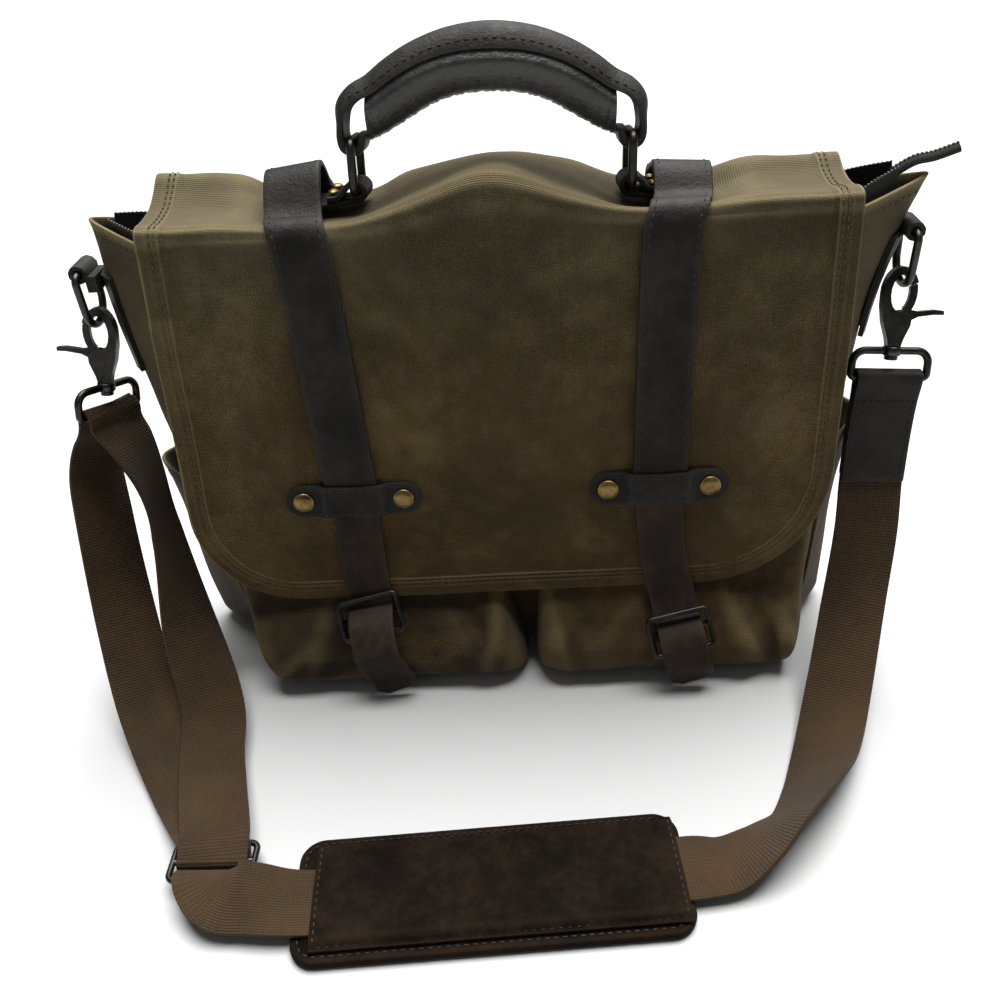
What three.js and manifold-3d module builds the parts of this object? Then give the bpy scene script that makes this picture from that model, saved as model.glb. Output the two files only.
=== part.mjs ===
// Canvas messenger bag with leather straps, a carry handle and a shoulder strap laid in front.
// Millimetres, X to the right, Y to the back, Z up, the base stands on z = 0.

import * as THREE from 'three';
import { mergeVertices } from 'three/addons/utils/BufferGeometryUtils.js';
import Module from 'manifold-3d';

const wasm = await Module();
wasm.setup();

// walls and gaps
const CANVAS = 2;
const FLAP_WALL = 2.6;
const LEATHER = 2.8;
const GAP = 0.35;
const BASE_ROUND = 9;

// body
const RIM_HEIGHT = 275;
const TIP_RISE = 10;
const FOLD_ROUNDING = 0.25;
const SIDE_POCKET_GAPE = 8;

// flap
const FLAP_FRONT_AT_FLOOR = -60;
const FLAP_LEAN = 0.08;
const FLAP_HEM_HEIGHT = 62;
const FLAP_HALF_WIDTH = 185;
const FLAP_LEFT_TOP = 180;
const CREST_SPREAD = 40;
const TAB_PLACE = 90;
const TAB_SPREAD = 36;

// leather straps on the flap
const STRAP_WIDTH = 30;
const KEEPER_HEIGHT_AT = 130;
const KEEPER_HALF_LENGTH = 39;
const KEEPER_HALF_HEIGHT = 10;
const KEEPER_PLACE = 87;
const RIVET_PITCH = 57.5;
const RIVET_RADIUS = 6;
const BILLET_WIDTH = 27;

// carry handle
const HANDLE_CENTRE = 2;
const HANDLE_HALF_SPAN = 71;
const HANDLE_WIDTH = 25;
const HANDLE_LEAN = 8;
const RING_LOW_BAR = 291;
const RING_BAR_PITCH = 25;
const RING_HALF_LENGTH = 15.5;
const RING_WIRE = 2.3;

// side hardware and shoulder strap
const D_RING_HEIGHT = 31;
const D_RING_HALF_WIDTH = 14;
const D_RING_WIRE = 2.2;
const SIDE_TAB_AT = 257;
const WEBBING_WIDTH = 36.5;
const WEBBING = 1.8;
const LOOP_HALF_WIDTH = 21.2;
const LOOP_HEIGHT = 15;
const LOOP_WIRE = 2.2;
const LOOP_WRAP = 3.95;
const LEFT_TURN = 62;
const LEFT_RISE = -11.5;
const GATE_WALL = 3.2;
const PAD_LENGTH = 198;
const PAD_WIDTH = 71;

const radians = THREE.MathUtils.degToRad;
const vector = (x, y, z) => new THREE.Vector3(x, y, z);

// materials
function finish(color, roughness, metalness) {
  return new THREE.MeshStandardMaterial({ color, roughness, metalness });
}
const canvasBrown = finish(0x5a4c34, 0.9, 0);
const canvasPocket = finish(0x4a3e29, 0.9, 0);
const leatherDark = finish(0x2a2723, 0.55, 0);
const leatherBrown = finish(0x3b2a1e, 0.6, 0);
const webbingBrown = finish(0x5b4532, 0.85, 0);
const metalBlack = finish(0x1f2021, 0.4, 0.9);
const brassAged = finish(0x8a6a34, 0.45, 0.9);
const zipBlack = finish(0x151515, 0.7, 0);

const bag = new THREE.Group();
bag.name = 'messenger_bag';

// smooth value of one column of a table, looked up along another column
function lookUp(rows, along, column, value) {
  const last = rows.length - 1;
  let i = 0;
  while (i < last - 1 && value > rows[i + 1][along]) {
    i += 1;
  }
  const slope = (k) => {
    const before = rows[Math.max(0, k - 1)];
    const after = rows[Math.min(last, k + 1)];
    return (after[column] - before[column]) / (after[along] - before[along]);
  };
  const span = rows[i + 1][along] - rows[i][along];
  const t = THREE.MathUtils.clamp((value - rows[i][along]) / span, 0, 1);
  const rise = t * t * (3 - 2 * t);
  const startPull = t * (1 - t) * (1 - t) * slope(i) * span;
  const endPull = t * t * (t - 1) * slope(i + 1) * span;
  return rows[i][column] * (1 - rise) + rows[i + 1][column] * rise + startPull + endPull;
}

// turns a geometry so that its faces look outward
function outward(geometry) {
  const place = geometry.getAttribute('position');
  const index = geometry.getIndex();
  const corner = (k) => vector().fromBufferAttribute(place, index.getX(k));
  let volume = 0;
  for (let k = 0; k < index.count; k += 3) {
    volume += corner(k).dot(corner(k + 1).cross(corner(k + 2)));
  }
  if (volume < 0) {
    for (let k = 0; k < index.count; k += 3) {
      const kept = index.getX(k + 1);
      index.setX(k + 1, index.getX(k + 2));
      index.setX(k + 2, kept);
    }
  }
  geometry.computeVertexNormals();
  return geometry;
}

function solidFrom(points, faces) {
  const geometry = new THREE.BufferGeometry();
  const numbers = points.flatMap((p) => [p.x, p.y, p.z]);
  geometry.setAttribute('position', new THREE.Float32BufferAttribute(numbers, 3));
  geometry.setIndex(faces.flat());
  return outward(geometry);
}

// closed solid between two grids of the same size
function gridSolid(outer, inner) {
  const rows = outer.length;
  const columns = outer[0].length;
  const points = [...outer.flat(), ...inner.flat()];
  const at = (side, r, c) => side * rows * columns + r * columns + c;
  const faces = [];
  const quad = (a, b, c, d) => faces.push([a, b, c], [a, c, d]);
  for (let r = 0; r < rows - 1; r += 1) {
    for (let c = 0; c < columns - 1; c += 1) {
      quad(at(0, r, c), at(0, r, c + 1), at(0, r + 1, c + 1), at(0, r + 1, c));
      quad(at(1, r, c), at(1, r + 1, c), at(1, r + 1, c + 1), at(1, r, c + 1));
    }
  }
  for (let r = 0; r < rows - 1; r += 1) {
    quad(at(0, r, 0), at(0, r + 1, 0), at(1, r + 1, 0), at(1, r, 0));
    quad(at(0, r + 1, columns - 1), at(0, r, columns - 1), at(1, r, columns - 1), at(1, r + 1, columns - 1));
  }
  for (let c = 0; c < columns - 1; c += 1) {
    quad(at(0, 0, c + 1), at(0, 0, c), at(1, 0, c), at(1, 0, c + 1));
    quad(at(0, rows - 1, c), at(0, rows - 1, c + 1), at(1, rows - 1, c + 1), at(1, rows - 1, c));
  }
  return solidFrom(points, faces);
}

// unit normals of a grid of points
function gridNormals(grid) {
  const lastRow = grid.length - 1;
  const lastColumn = grid[0].length - 1;
  return grid.map((row, r) => row.map((point, c) => {
    const across = row[Math.min(lastColumn, c + 1)].clone().sub(row[Math.max(0, c - 1)]);
    const down = grid[Math.min(lastRow, r + 1)][c].clone().sub(grid[Math.max(0, r - 1)][c]);
    return across.cross(down).normalize();
  }));
}

// grid moved along its normals
function offsetGrid(grid, distance) {
  const normals = gridNormals(grid);
  return grid.map((row, r) => row.map((p, c) => p.clone().addScaledVector(normals[r][c], distance)));
}

function makeGrid(rows, columns, point) {
  return rows.map((row) => columns.map((column) => point(row, column)));
}

function steps(from, to, count) {
  return Array.from({ length: count + 1 }, (unused, k) => from + ((to - from) * k) / count);
}

// flat or round section carried along a row of stations
// both faces of a flat band are split along the same diagonal, so that a twisted band keeps its wall
function sweep(stations, profile, closed = false) {
  const profileAt = typeof profile === 'function' ? profile : () => profile;
  const points = stations.flatMap((s, k) => profileAt(k).map(([a, b]) => (
    s.at.clone().addScaledVector(s.across, a).addScaledVector(s.up, b)
  )));
  const sides = profileAt(0).length;
  const count = stations.length;
  const faces = [];
  const reach = closed ? count : count - 1;
  for (let k = 0; k < reach; k += 1) {
    const here = k * sides;
    const next = ((k + 1) % count) * sides;
    for (let j = 0; j < sides; j += 1) {
      const j2 = (j + 1) % sides;
      if (j < sides / 2) {
        faces.push([here + j, here + j2, next + j2], [here + j, next + j2, next + j]);
      } else {
        faces.push([here + j, here + j2, next + j], [here + j2, next + j2, next + j]);
      }
    }
  }
  if (!closed) {
    const end = (count - 1) * sides;
    for (let j = 1; j < sides - 1; j += 1) {
      faces.push([0, j + 1, j], [end, end + j, end + j + 1]);
    }
  }
  return solidFrom(points, faces);
}

function flatProfile(width, thickness) {
  const w = width / 2;
  const t = thickness / 2;
  return [[-w, -t], [w, -t], [w, t], [-w, t]];
}

function roundProfile(radiusAcross, radiusUp, sides) {
  return steps(0, 2 * Math.PI, sides).slice(0, sides).map((a) => (
    [radiusAcross * Math.cos(a), radiusUp * Math.sin(a)]
  ));
}

// stations of a band through the rows of a table with columns x, y, z, heading and rise
function bandStations(rows, perRow) {
  const curve = new THREE.CatmullRomCurve3(rows.map((r) => vector(r.x, r.y, r.z)));
  const table = rows.map((r, order) => ({ order, heading: r.heading, rise: r.rise ?? 0 }));
  const last = rows.length - 1;
  return steps(0, last, last * perRow).map((order) => {
    const at = curve.getPoint(order / last);
    const along = curve.getTangent(order / last);
    const heading = radians(lookUp(table, 'order', 'heading', order));
    const rise = radians(lookUp(table, 'order', 'rise', order));
    const level = Math.cos(rise);
    const across = vector(Math.cos(heading) * level, Math.sin(heading) * level, Math.sin(rise));
    across.addScaledVector(along, -across.dot(along)).normalize();
    const up = along.clone().cross(across).normalize();
    return { at, across, up };
  });
}

// round wire bent into a flat closed loop in the local X and Z directions
function wireLoop(outline, radius, sides) {
  const count = outline.length;
  const stations = outline.map(([x, z], k) => {
    const [xa, za] = outline[(k + count - 1) % count];
    const [xb, zb] = outline[(k + 1) % count];
    const along = vector(xb - xa, 0, zb - za).normalize();
    return { at: vector(x, 0, z), across: vector(-along.z, 0, along.x), up: vector(0, 1, 0) };
  });
  return sweep(stations, roundProfile(radius, radius, sides), true);
}

// corners of a rectangle rounded with arcs
function roundedOutline(halfWidth, top, bottom, radius, perCorner, lowRadius = radius) {
  const corners = [
    { side: 1, base: top, r: -radius, from: 0 },
    { side: -1, base: top, r: -radius, from: 90 },
    { side: -1, base: bottom, r: lowRadius, from: 180 },
    { side: 1, base: bottom, r: lowRadius, from: 270 },
  ];
  return corners.flatMap(({ side, base, r, from }) => steps(from, from + 90, perCorner).map((angle) => {
    const size = Math.abs(r);
    const x = side * (halfWidth - size) + size * Math.cos(radians(angle));
    return [x, base + r + size * Math.sin(radians(angle))];
  }));
}

function asSolid(geometry) {
  const plain = new THREE.BufferGeometry();
  plain.setAttribute('position', geometry.getAttribute('position').clone());
  if (geometry.getIndex()) {
    plain.setIndex(geometry.getIndex().clone());
  }
  const merged = outward(mergeVertices(plain, 1e-4));
  const vertProperties = new Float32Array(merged.getAttribute('position').array);
  const triVerts = new Uint32Array(merged.getIndex().array);
  return new wasm.Manifold(new wasm.Mesh({ numProp: 3, vertProperties, triVerts }));
}

function fromSolid(solid) {
  const mesh = solid.getMesh();
  const geometry = new THREE.BufferGeometry();
  geometry.setAttribute('position', new THREE.Float32BufferAttribute(mesh.vertProperties, 3));
  geometry.setIndex([...mesh.triVerts]);
  return outward(geometry);
}

function join(...geometries) {
  return fromSolid(geometries.map(asSolid).reduce((sum, next) => sum.add(next)));
}

function cut(geometry, tool) {
  return fromSolid(asSolid(geometry).subtract(asSolid(tool)));
}

// solid of revolution about the local Z direction, profile rows are radius and height
function turned(profile, segments) {
  const outline = profile.map(([radius, height]) => new THREE.Vector2(radius, height));
  const geometry = new THREE.LatheGeometry(outline, segments);
  geometry.rotateX(Math.PI / 2);
  const plain = new THREE.BufferGeometry();
  plain.setAttribute('position', geometry.getAttribute('position'));
  plain.setIndex(geometry.getIndex());
  return outward(mergeVertices(plain, 1e-4));
}

function moved(geometry, matrix) {
  const copy = geometry.clone();
  copy.applyMatrix4(matrix);
  return outward(copy);
}

function addPart(name, geometry, material) {
  const mesh = new THREE.Mesh(geometry, material);
  mesh.name = name;
  bag.add(mesh);
}

// body walls
// edges are the seams of the front and back panels, ridges are the outward folds of the gussets
const BODY = [
  { z: 0, leftEdge: -156, rightEdge: 174, front: -32, back: 52, leftRidge: -199, rightRidge: 202 },
  { z: 40, leftEdge: -166, rightEdge: 180, front: -34, back: 54, leftRidge: -204, rightRidge: 201 },
  { z: 100, leftEdge: -176, rightEdge: 183, front: -34, back: 51, leftRidge: -203, rightRidge: 198 },
  { z: 170, leftEdge: -180, rightEdge: 184, front: -33, back: 43, leftRidge: -207, rightRidge: 202 },
  { z: 225, leftEdge: -181, rightEdge: 184, front: -31, back: 33, leftRidge: -212.5, rightRidge: 209 },
  { z: 275, leftEdge: -180, rightEdge: 184, front: -29, back: 22, leftRidge: -214, rightRidge: 226 },
];
const body = (column, z) => lookUp(BODY, 'z', column, z);

// heights of the wall rows, with the rounded turn at the base
const baseTurn = [0, 30, 60].map((angle) => ({
  z: BASE_ROUND * (1 - Math.cos(radians(angle))),
  tuck: BASE_ROUND * (1 - Math.sin(radians(angle))),
}));
const wallHeights = [9, 30, 70, 115, 160, 200, 235, 262, RIM_HEIGHT];
const wallRows = [...baseTurn, ...wallHeights.map((z) => ({ z, tuck: 0 }))];

function frontFace(x, z, tuck = 0) {
  const bulge = 1.5 * Math.sin((Math.PI * z) / RIM_HEIGHT) * Math.cos((Math.PI * x) / 400);
  return body('front', z) + tuck - bulge;
}

function backFace(x, z, tuck = 0) {
  const bulge = 4 * Math.sin((Math.PI * z) / RIM_HEIGHT) * Math.cos((Math.PI * x) / 400);
  return body('back', z) - tuck + bulge;
}

function panelX(share, z, tuck) {
  const left = body('leftEdge', z) + tuck;
  const right = body('rightEdge', z) - tuck;
  return left + (right - left) * share;
}

const panelShares = steps(0, 1, 6);
const frontGrid = makeGrid(wallRows, panelShares, ({ z, tuck }, share) => {
  const x = panelX(share, z, tuck);
  return vector(x, frontFace(x, z, tuck), z);
});
addPart('front_panel', gridSolid(frontGrid, offsetGrid(frontGrid, -CANVAS)), canvasBrown);

const backGrid = makeGrid(wallRows, panelShares, ({ z, tuck }, share) => {
  const x = panelX(share, z, tuck);
  return vector(x, backFace(x, z, tuck), z);
});
addPart('back_panel', gridSolid(backGrid, offsetGrid(backGrid, CANVAS)), canvasBrown);

// how far the gusset has folded out, 0 at the seams and 1 at the ridge
function foldShare(v) {
  const rounded = (a) => Math.sqrt(a * a + FOLD_ROUNDING * FOLD_ROUNDING) - FOLD_ROUNDING;
  return 1 - rounded(v) / rounded(1);
}

function gussetPoint(side, v, z, tuck = 0, proud = 0) {
  const edgeName = side < 0 ? 'leftEdge' : 'rightEdge';
  const ridgeName = side < 0 ? 'leftRidge' : 'rightRidge';
  const edge = body(edgeName, z);
  const ridge = body(ridgeName, z);
  const seam = CANVAS + GAP + 0.1;
  const front = frontFace(edge, z, tuck) + seam;
  const back = backFace(edge, z, tuck) - seam;
  const y = (front + back) / 2 + (v * (back - front)) / 2;
  const share = foldShare(v);
  const x = edge + (ridge - edge) * share + side * (proud - tuck);
  const lifted = z + TIP_RISE * share * (z / RIM_HEIGHT) ** 3;
  return vector(x, y, lifted);
}

const foldSteps = [-1, -0.7, -0.4, -0.15, 0.15, 0.4, 0.7, 1];
for (const [name, side] of [['left', -1], ['right', 1]]) {
  const grid = makeGrid(wallRows, foldSteps, ({ z, tuck }, v) => gussetPoint(side, v, z, tuck));
  addPart(`gusset_${name}`, gridSolid(grid, offsetGrid(grid, -side * CANVAS)), canvasBrown);
}

// base panel inside the turned-in walls
const baseInset = BASE_ROUND + 0.8;
const baseOutline = new THREE.Shape([
  ...foldSteps.map((v) => gussetPoint(1, v * 0.97, 0, baseInset)),
  ...[...foldSteps].reverse().map((v) => gussetPoint(-1, v * 0.97, 0, baseInset)),
].map((p) => new THREE.Vector2(p.x, p.y)));
const basePlate = new THREE.ExtrudeGeometry(baseOutline, { depth: 2.4, bevelEnabled: false });
addPart('base_panel', basePlate, canvasPocket);

// slip pocket on each gusset, gaping at its hem
const SIDE_POCKETS = [
  { name: 'left', side: -1, hem: 130 },
  { name: 'right', side: 1, hem: 143 },
];
for (const { name, side, hem } of SIDE_POCKETS) {
  const rows = steps(10, hem, 5);
  const columns = [-0.94, -0.7, -0.4, -0.15, 0.15, 0.4, 0.7, 0.94];
  const grid = makeGrid(rows, columns, (z, v) => {
    const height = (z - 10) / (hem - 10);
    const gape = GAP + 0.3 + SIDE_POCKET_GAPE * height ** 1.6 * (1 - (v / 0.94) ** 2);
    return gussetPoint(side, v, z, 0, gape);
  });
  addPart(`side_pocket_${name}`, gridSolid(grid, offsetGrid(grid, side * CANVAS)), canvasPocket);
}

// bellows pockets on the front panel, depth by height and share of depth across the width
const POCKET_DEPTHS = [
  { z: 3.4, depth: 20 },
  { z: 5, depth: 31 },
  { z: 12, depth: 38 },
  { z: 27, depth: 38.6 },
  { z: 42, depth: 28 },
  { z: 55, depth: 18.5 },
  { z: 72, depth: 14.2 },
  { z: 160, depth: 9 },
];
const POCKET_ACROSS = [
  { share: 0, depth: 0.15 },
  { share: 0.004, depth: 0.6 },
  { share: 0.03, depth: 0.9 },
  { share: 0.1, depth: 1 },
  { share: 0.35, depth: 1 },
  { share: 0.65, depth: 1 },
  { share: 0.9, depth: 1 },
  { share: 0.97, depth: 0.9 },
  { share: 0.996, depth: 0.6 },
  { share: 1, depth: 0.15 },
];
const footShare = (z) => 1 - THREE.MathUtils.smoothstep(z, 5, 60);
const POCKETS = [
  { name: 'left', from: (z) => body('leftEdge', z) + 3, to: (z) => 11.5 * footShare(z) - 3 },
  { name: 'right', from: (z) => 16 - 3 * footShare(z), to: (z) => body('rightEdge', z) - 3 },
];
for (const { name, from, to } of POCKETS) {
  const seat = (p) => vector(p.x, Math.min(p.y, frontFace(p.x, p.z) - GAP), p.z);
  const grid = makeGrid(POCKET_DEPTHS, POCKET_ACROSS, (row, column) => {
    const x = from(row.z) + (to(row.z) - from(row.z)) * column.share;
    return seat(vector(x, frontFace(x, row.z) - GAP - row.depth * column.depth, row.z));
  });
  const inner = offsetGrid(grid, -CANVAS).map((row) => row.map(seat));
  addPart(`front_pocket_${name}`, gridSolid(grid, inner), canvasPocket);
}

// flap, from the hem on the back panel over the top to the hem in front
// tab is the drop beside the handle tabs, sag is the further drop beside the right one
// crest is the rise between them, tip is the share of the ends' tilt
const FLAP_TOP = [
  { y: 36.2, z: 238, tab: 0, crest: 0 },
  { y: 30.6, z: 260, tab: 0, crest: 0 },
  { y: 27.8, z: 275, tab: 0, crest: 0 },
  { y: 26.8, z: 284, tab: -3, crest: 2.5, tip: 0.5 },
  { y: 23.6, z: 291, tab: -8, crest: 6.5, tip: 1 },
  { y: 17, z: 292.5, tab: -11.5, sag: -1.3, crest: 9, tip: 1 },
  { y: 7, z: 288, tab: -7.6, sag: -5.4, crest: 14.5, tip: 0.8 },
  { y: -4, z: 285, tab: -4.6, sag: -4, crest: 18.5, tip: 0.5 },
  { y: -15, z: 284.5, tab: -3.8, sag: -4, crest: 20.5, tip: 0.3 },
  { y: -24, z: 286, tab: -3.6, sag: -1.5, crest: 20 },
  { y: -31.5, z: 286, tab: -2.5, crest: 18 },
  { y: -36.2, z: 280.5, tab: -1, crest: 11 },
];
const FLAP_FRONT = [270, 240, 200, 160, 130, 108, 90, 77, 68, 63.4, FLAP_HEM_HEIGHT];
const flapFront = (z) => FLAP_FRONT_AT_FLOOR + FLAP_LEAN * z;
const flapRows = [
  ...FLAP_TOP,
  ...FLAP_FRONT.map((z) => ({ y: flapFront(z), z, tab: 0, crest: z === 270 ? 3 : 0 })),
].map((row, order) => ({ sag: 0, tip: 0, ...row, order }));

function flapHalfWidth(row, side) {
  const corner = side < 0 ? 60 : 76;
  const top = side < 0 ? FLAP_LEFT_TOP : FLAP_HALF_WIDTH;
  const drop = THREE.MathUtils.clamp((280 - row.z) / 150, 0, 1);
  const straight = top + (FLAP_HALF_WIDTH - top) * drop;
  const rise = row.z - FLAP_HEM_HEIGHT;
  if (row.order < FLAP_TOP.length || rise > corner) {
    return straight;
  }
  return straight - corner + Math.sqrt(corner ** 2 - (corner - rise) ** 2);
}

function flapHeight(row, x) {
  const crest = Math.exp(-((x / CREST_SPREAD) ** 2));
  const tab = Math.exp(-(((Math.abs(x) - TAB_PLACE) / TAB_SPREAD) ** 4));
  const ends = 6 * THREE.MathUtils.smoothstep(-x, 108, 135) - 2 * THREE.MathUtils.smoothstep(x, 132, 160);
  const sag = Math.exp(-(((x - TAB_PLACE) / TAB_SPREAD) ** 4));
  return row.z + row.crest * crest + row.tab * tab + row.sag * sag + row.tip * ends;
}

function flapPoint(row, x) {
  return vector(x, row.y, flapHeight(row, x));
}

const flapShares = steps(-1, 1, 16);
const flapGrid = makeGrid(flapRows, flapShares, (row, share) => {
  const side = share < 0 ? -1 : 1;
  return flapPoint(row, share * flapHalfWidth(row, side));
});
addPart('flap', gridSolid(flapGrid, offsetGrid(flapGrid, FLAP_WALL)), canvasBrown);

// flap surface at a running row number, for what lies on it
function onFlap(order, x) {
  const y = lookUp(flapRows, 'order', 'y', order);
  const row = {
    z: lookUp(flapRows, 'order', 'z', order),
    tab: lookUp(flapRows, 'order', 'tab', order),
    crest: lookUp(flapRows, 'order', 'crest', order),
    sag: lookUp(flapRows, 'order', 'sag', order),
    tip: lookUp(flapRows, 'order', 'tip', order),
  };
  return vector(x, y, flapHeight(row, x));
}

function flapNormal(order, x) {
  const along = onFlap(order + 0.2, x).sub(onFlap(order - 0.2, x));
  return vector(1, 0, 0).cross(along).normalize().negate();
}

const orderAt = (z) => {
  const found = flapRows.findIndex((row) => row.order >= FLAP_TOP.length && row.z <= z);
  const above = flapRows[found - 1];
  return above.order + (above.z - z) / (above.z - flapRows[found].z);
};

// upper straps, place along the flap by row and lift over the handle tabs
const STRAPS = [
  { name: 'left', side: -1, top: -101, crease: -95, low: -KEEPER_PLACE, tilt: 7, lift: 21 },
  { name: 'right', side: 1, top: 99, crease: 91, low: KEEPER_PLACE, tilt: 4, lift: 17.6 },
];
const strapEnd = orderAt(KEEPER_HEIGHT_AT + 1);
for (const { name, side, top, crease, low, tilt, lift } of STRAPS) {
  const places = [
    { order: 0, x: top },
    { order: 8, x: top },
    { order: 12, x: crease },
    { order: strapEnd, x: low },
  ];
  const orders = [...steps(0.2, 12, 18), ...steps(13, strapEnd, 4)];
  const stations = orders.map((order) => {
    const x = lookUp(places, 'order', 'x', order);
    const surface = onFlap(order, x);
    const near = THREE.MathUtils.clamp(Math.abs(surface.y - 1) / 27, 0, 1);
    const arch = order > 2.5 && order < 12 ? Math.cos((near * Math.PI) / 2) ** 1.4 : 0;
    const out = flapNormal(order, x);
    const at = surface.addScaledVector(out, GAP + 0.7 + LEATHER / 2);
    at.z += lift * arch;
    const turn = radians(-side * tilt * arch);
    return { at, across: vector(Math.cos(turn), 0, Math.sin(turn)), up: out };
  });
  addPart(`flap_strap_${name}`, sweep(stations, flatProfile(STRAP_WIDTH, LEATHER)), leatherDark);
}

// keepers across the straps, ends rounded and flat on the flap, middle raised over the strap
const keeperLift = (d) => {
  const overStrap = THREE.MathUtils.smoothstep(STRAP_WIDTH / 2 + 6.5 - Math.abs(d), 0, 5.5);
  return GAP + 0.15 + (LEATHER + 0.7) * overStrap;
};
const keeperHalf = [39, 38, 35.5, 32, 21.5, 18.5, 16];
const keeperSteps = [...keeperHalf.map((d) => -d), ...[...keeperHalf].reverse()];
for (const [name, place] of [['left', -KEEPER_PLACE], ['right', KEEPER_PLACE]]) {
  const plane = vector(0, -1, FLAP_LEAN).normalize();
  const rise = vector(0, FLAP_LEAN, 1).normalize();
  const grid = makeGrid(keeperSteps, [-1, 0, 1], (d, v) => {
    const past = Math.max(0, Math.abs(d) - KEEPER_HALF_LENGTH + KEEPER_HALF_HEIGHT);
    const half = Math.max(1.2, Math.sqrt(KEEPER_HALF_HEIGHT ** 2 - past ** 2));
    const base = vector(place + d, flapFront(KEEPER_HEIGHT_AT), KEEPER_HEIGHT_AT);
    return base.addScaledVector(rise, v * half).addScaledVector(plane, keeperLift(d));
  });
  const outer = grid.map((row) => row.map((p) => p.clone().addScaledVector(plane, 2.4)));
  addPart(`keeper_${name}`, gridSolid(outer, grid), leatherDark);
}

// domed rivets, standing on the plane given by a place and an outward direction
function rivet(radius, height, at, out) {
  const profile = [[0, 0], [radius, 0], [radius, height * 0.35], [radius * 0.72, height * 0.8], [0, height]];
  const turn = new THREE.Quaternion().setFromUnitVectors(vector(0, 0, 1), out);
  const matrix = new THREE.Matrix4().compose(at, turn, vector(1, 1, 1));
  return moved(turned(profile, radius > 4 ? 12 : 8), matrix);
}
const flapOut = vector(0, -1, FLAP_LEAN).normalize();
for (const [name, place] of [['left', -KEEPER_PLACE], ['right', KEEPER_PLACE]]) {
  for (const [end, shift] of [['a', -RIVET_PITCH / 2], ['b', RIVET_PITCH / 2]]) {
    const at = vector(place + shift, flapFront(KEEPER_HEIGHT_AT), KEEPER_HEIGHT_AT);
    at.addScaledVector(flapOut, GAP + 0.15 + 2.4 + 0.3);
    addPart(`keeper_rivet_${name}_${end}`, rivet(RIVET_RADIUS, 2.6, at, flapOut), brassAged);
  }
}

// lower straps, over the flap hem, through the buckle and down to the floor
const BILLETS = [
  { name: 'left', keeper: -KEEPER_PLACE, buckle: -84, tip: -72, buckleZ: 53 },
  { name: 'right', keeper: KEEPER_PLACE, buckle: 99, tip: 109, buckleZ: 40.5 },
];
const BILLET_FALL = [
  { z: 128, off: 2.1, share: 0 },
  { z: 90, off: 2.1, share: 0.12 },
  { z: 70, off: 2.4, share: 0.3 },
  { z: 58, off: 5, share: 0.45 },
  { z: 50, off: 10, share: 0.53 },
  { z: 43, off: 14.8, share: 0.61 },
  { z: 35, off: 17.6, share: 0.69 },
  { z: 24, off: 18, share: 0.8 },
  { z: 13, off: 16.6, share: 0.91 },
  { z: 5.5, off: 16.4, share: 1 },
];
const BUCKLE_TILT = 12;
for (const { name, keeper, buckle, tip, buckleZ } of BILLETS) {
  const across = (share) => {
    const places = [
      { share: 0, x: keeper },
      { share: 0.6, x: buckle },
      { share: 1, x: tip },
    ];
    return lookUp(places, 'share', 'x', share);
  };
  const rows = BILLET_FALL.map(({ z, off, share }) => (
    { x: across(share), y: flapFront(z) - off, z, heading: 0 }
  ));
  const strap = sweep(bandStations(rows, 2), flatProfile(BILLET_WIDTH, LEATHER - 0.2));
  addPart(`billet_${name}`, strap, leatherBrown);

  // buckle frame in front of the strap, bar behind it, leather tab from the bar to the pocket
  const fall = [...BILLET_FALL].reverse();
  const share = lookUp(fall, 'z', 'share', buckleZ);
  const depthAt = (z) => flapFront(z) - lookUp(fall, 'z', 'off', z);
  const x = across(share);
  const y = depthAt(buckleZ);
  const slope = Math.atan((depthAt(buckleZ + 12) - depthAt(buckleZ - 12)) / 24);
  const stand = new THREE.Matrix4().makeTranslation(x, y, buckleZ);
  stand.multiply(new THREE.Matrix4().makeRotationX(-slope));
  stand.multiply(new THREE.Matrix4().makeRotationY(radians(-BUCKLE_TILT)));
  const frame = wireLoop(roundedOutline(18, 11.5, -11.5, 3, 2), 1.6, 6);
  frame.translate(0, -(LEATHER / 2 + GAP + 3.2), 0);
  const barBack = 4.1;
  const barRows = [
    { x: -18, y: -4.9 },
    { x: -18, y: 1.6 },
    { x: -16, y: barBack },
    { x: 16, y: barBack },
    { x: 18, y: 1.6 },
    { x: 18, y: -4.9 },
  ];
  const barStations = barRows.map((row, k) => {
    const before = barRows[Math.max(0, k - 1)];
    const after = barRows[Math.min(barRows.length - 1, k + 1)];
    const along = vector(after.x - before.x, after.y - before.y, 0).normalize();
    return { at: vector(row.x, row.y, 0), across: vector(-along.y, along.x, 0), up: vector(0, 0, 1) };
  });
  const bar = sweep(barStations, roundProfile(1, 1, 6));
  addPart(`buckle_${name}`, moved(join(frame, bar), stand), metalBlack);

  const sleeve = turned([[1.35, -11], [2.3, -11], [2.3, 11], [1.35, 11], [1.35, -11]], 10);
  sleeve.rotateY(Math.PI / 2);
  sleeve.translate(0, barBack, 0);
  const toStand = stand.clone().invert();
  const pocketBehind = steps(buckleZ - 20, buckleZ + 6, 26).map((z) => {
    const depth = lookUp(POCKET_DEPTHS, 'z', 'depth', z);
    return vector(x, frontFace(x, z) - GAP - depth, z).applyMatrix4(toStand);
  }).filter((p) => p.z > -11 && p.z < 2);
  const seat = Math.min(...pocketBehind.map((p) => p.y)) - GAP - 0.3;
  const tongue = new THREE.BoxGeometry(22, 1.6, 5.5);
  tongue.translate(0, seat - 0.8, -4.35);
  const link = new THREE.BoxGeometry(22, Math.max(1.2, seat - barBack), 0.9);
  link.translate(0, (seat + barBack) / 2 - 0.3, -1.95);
  addPart(`buckle_tab_${name}`, moved(join(sleeve, tongue, link), stand), leatherBrown);
}

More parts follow.
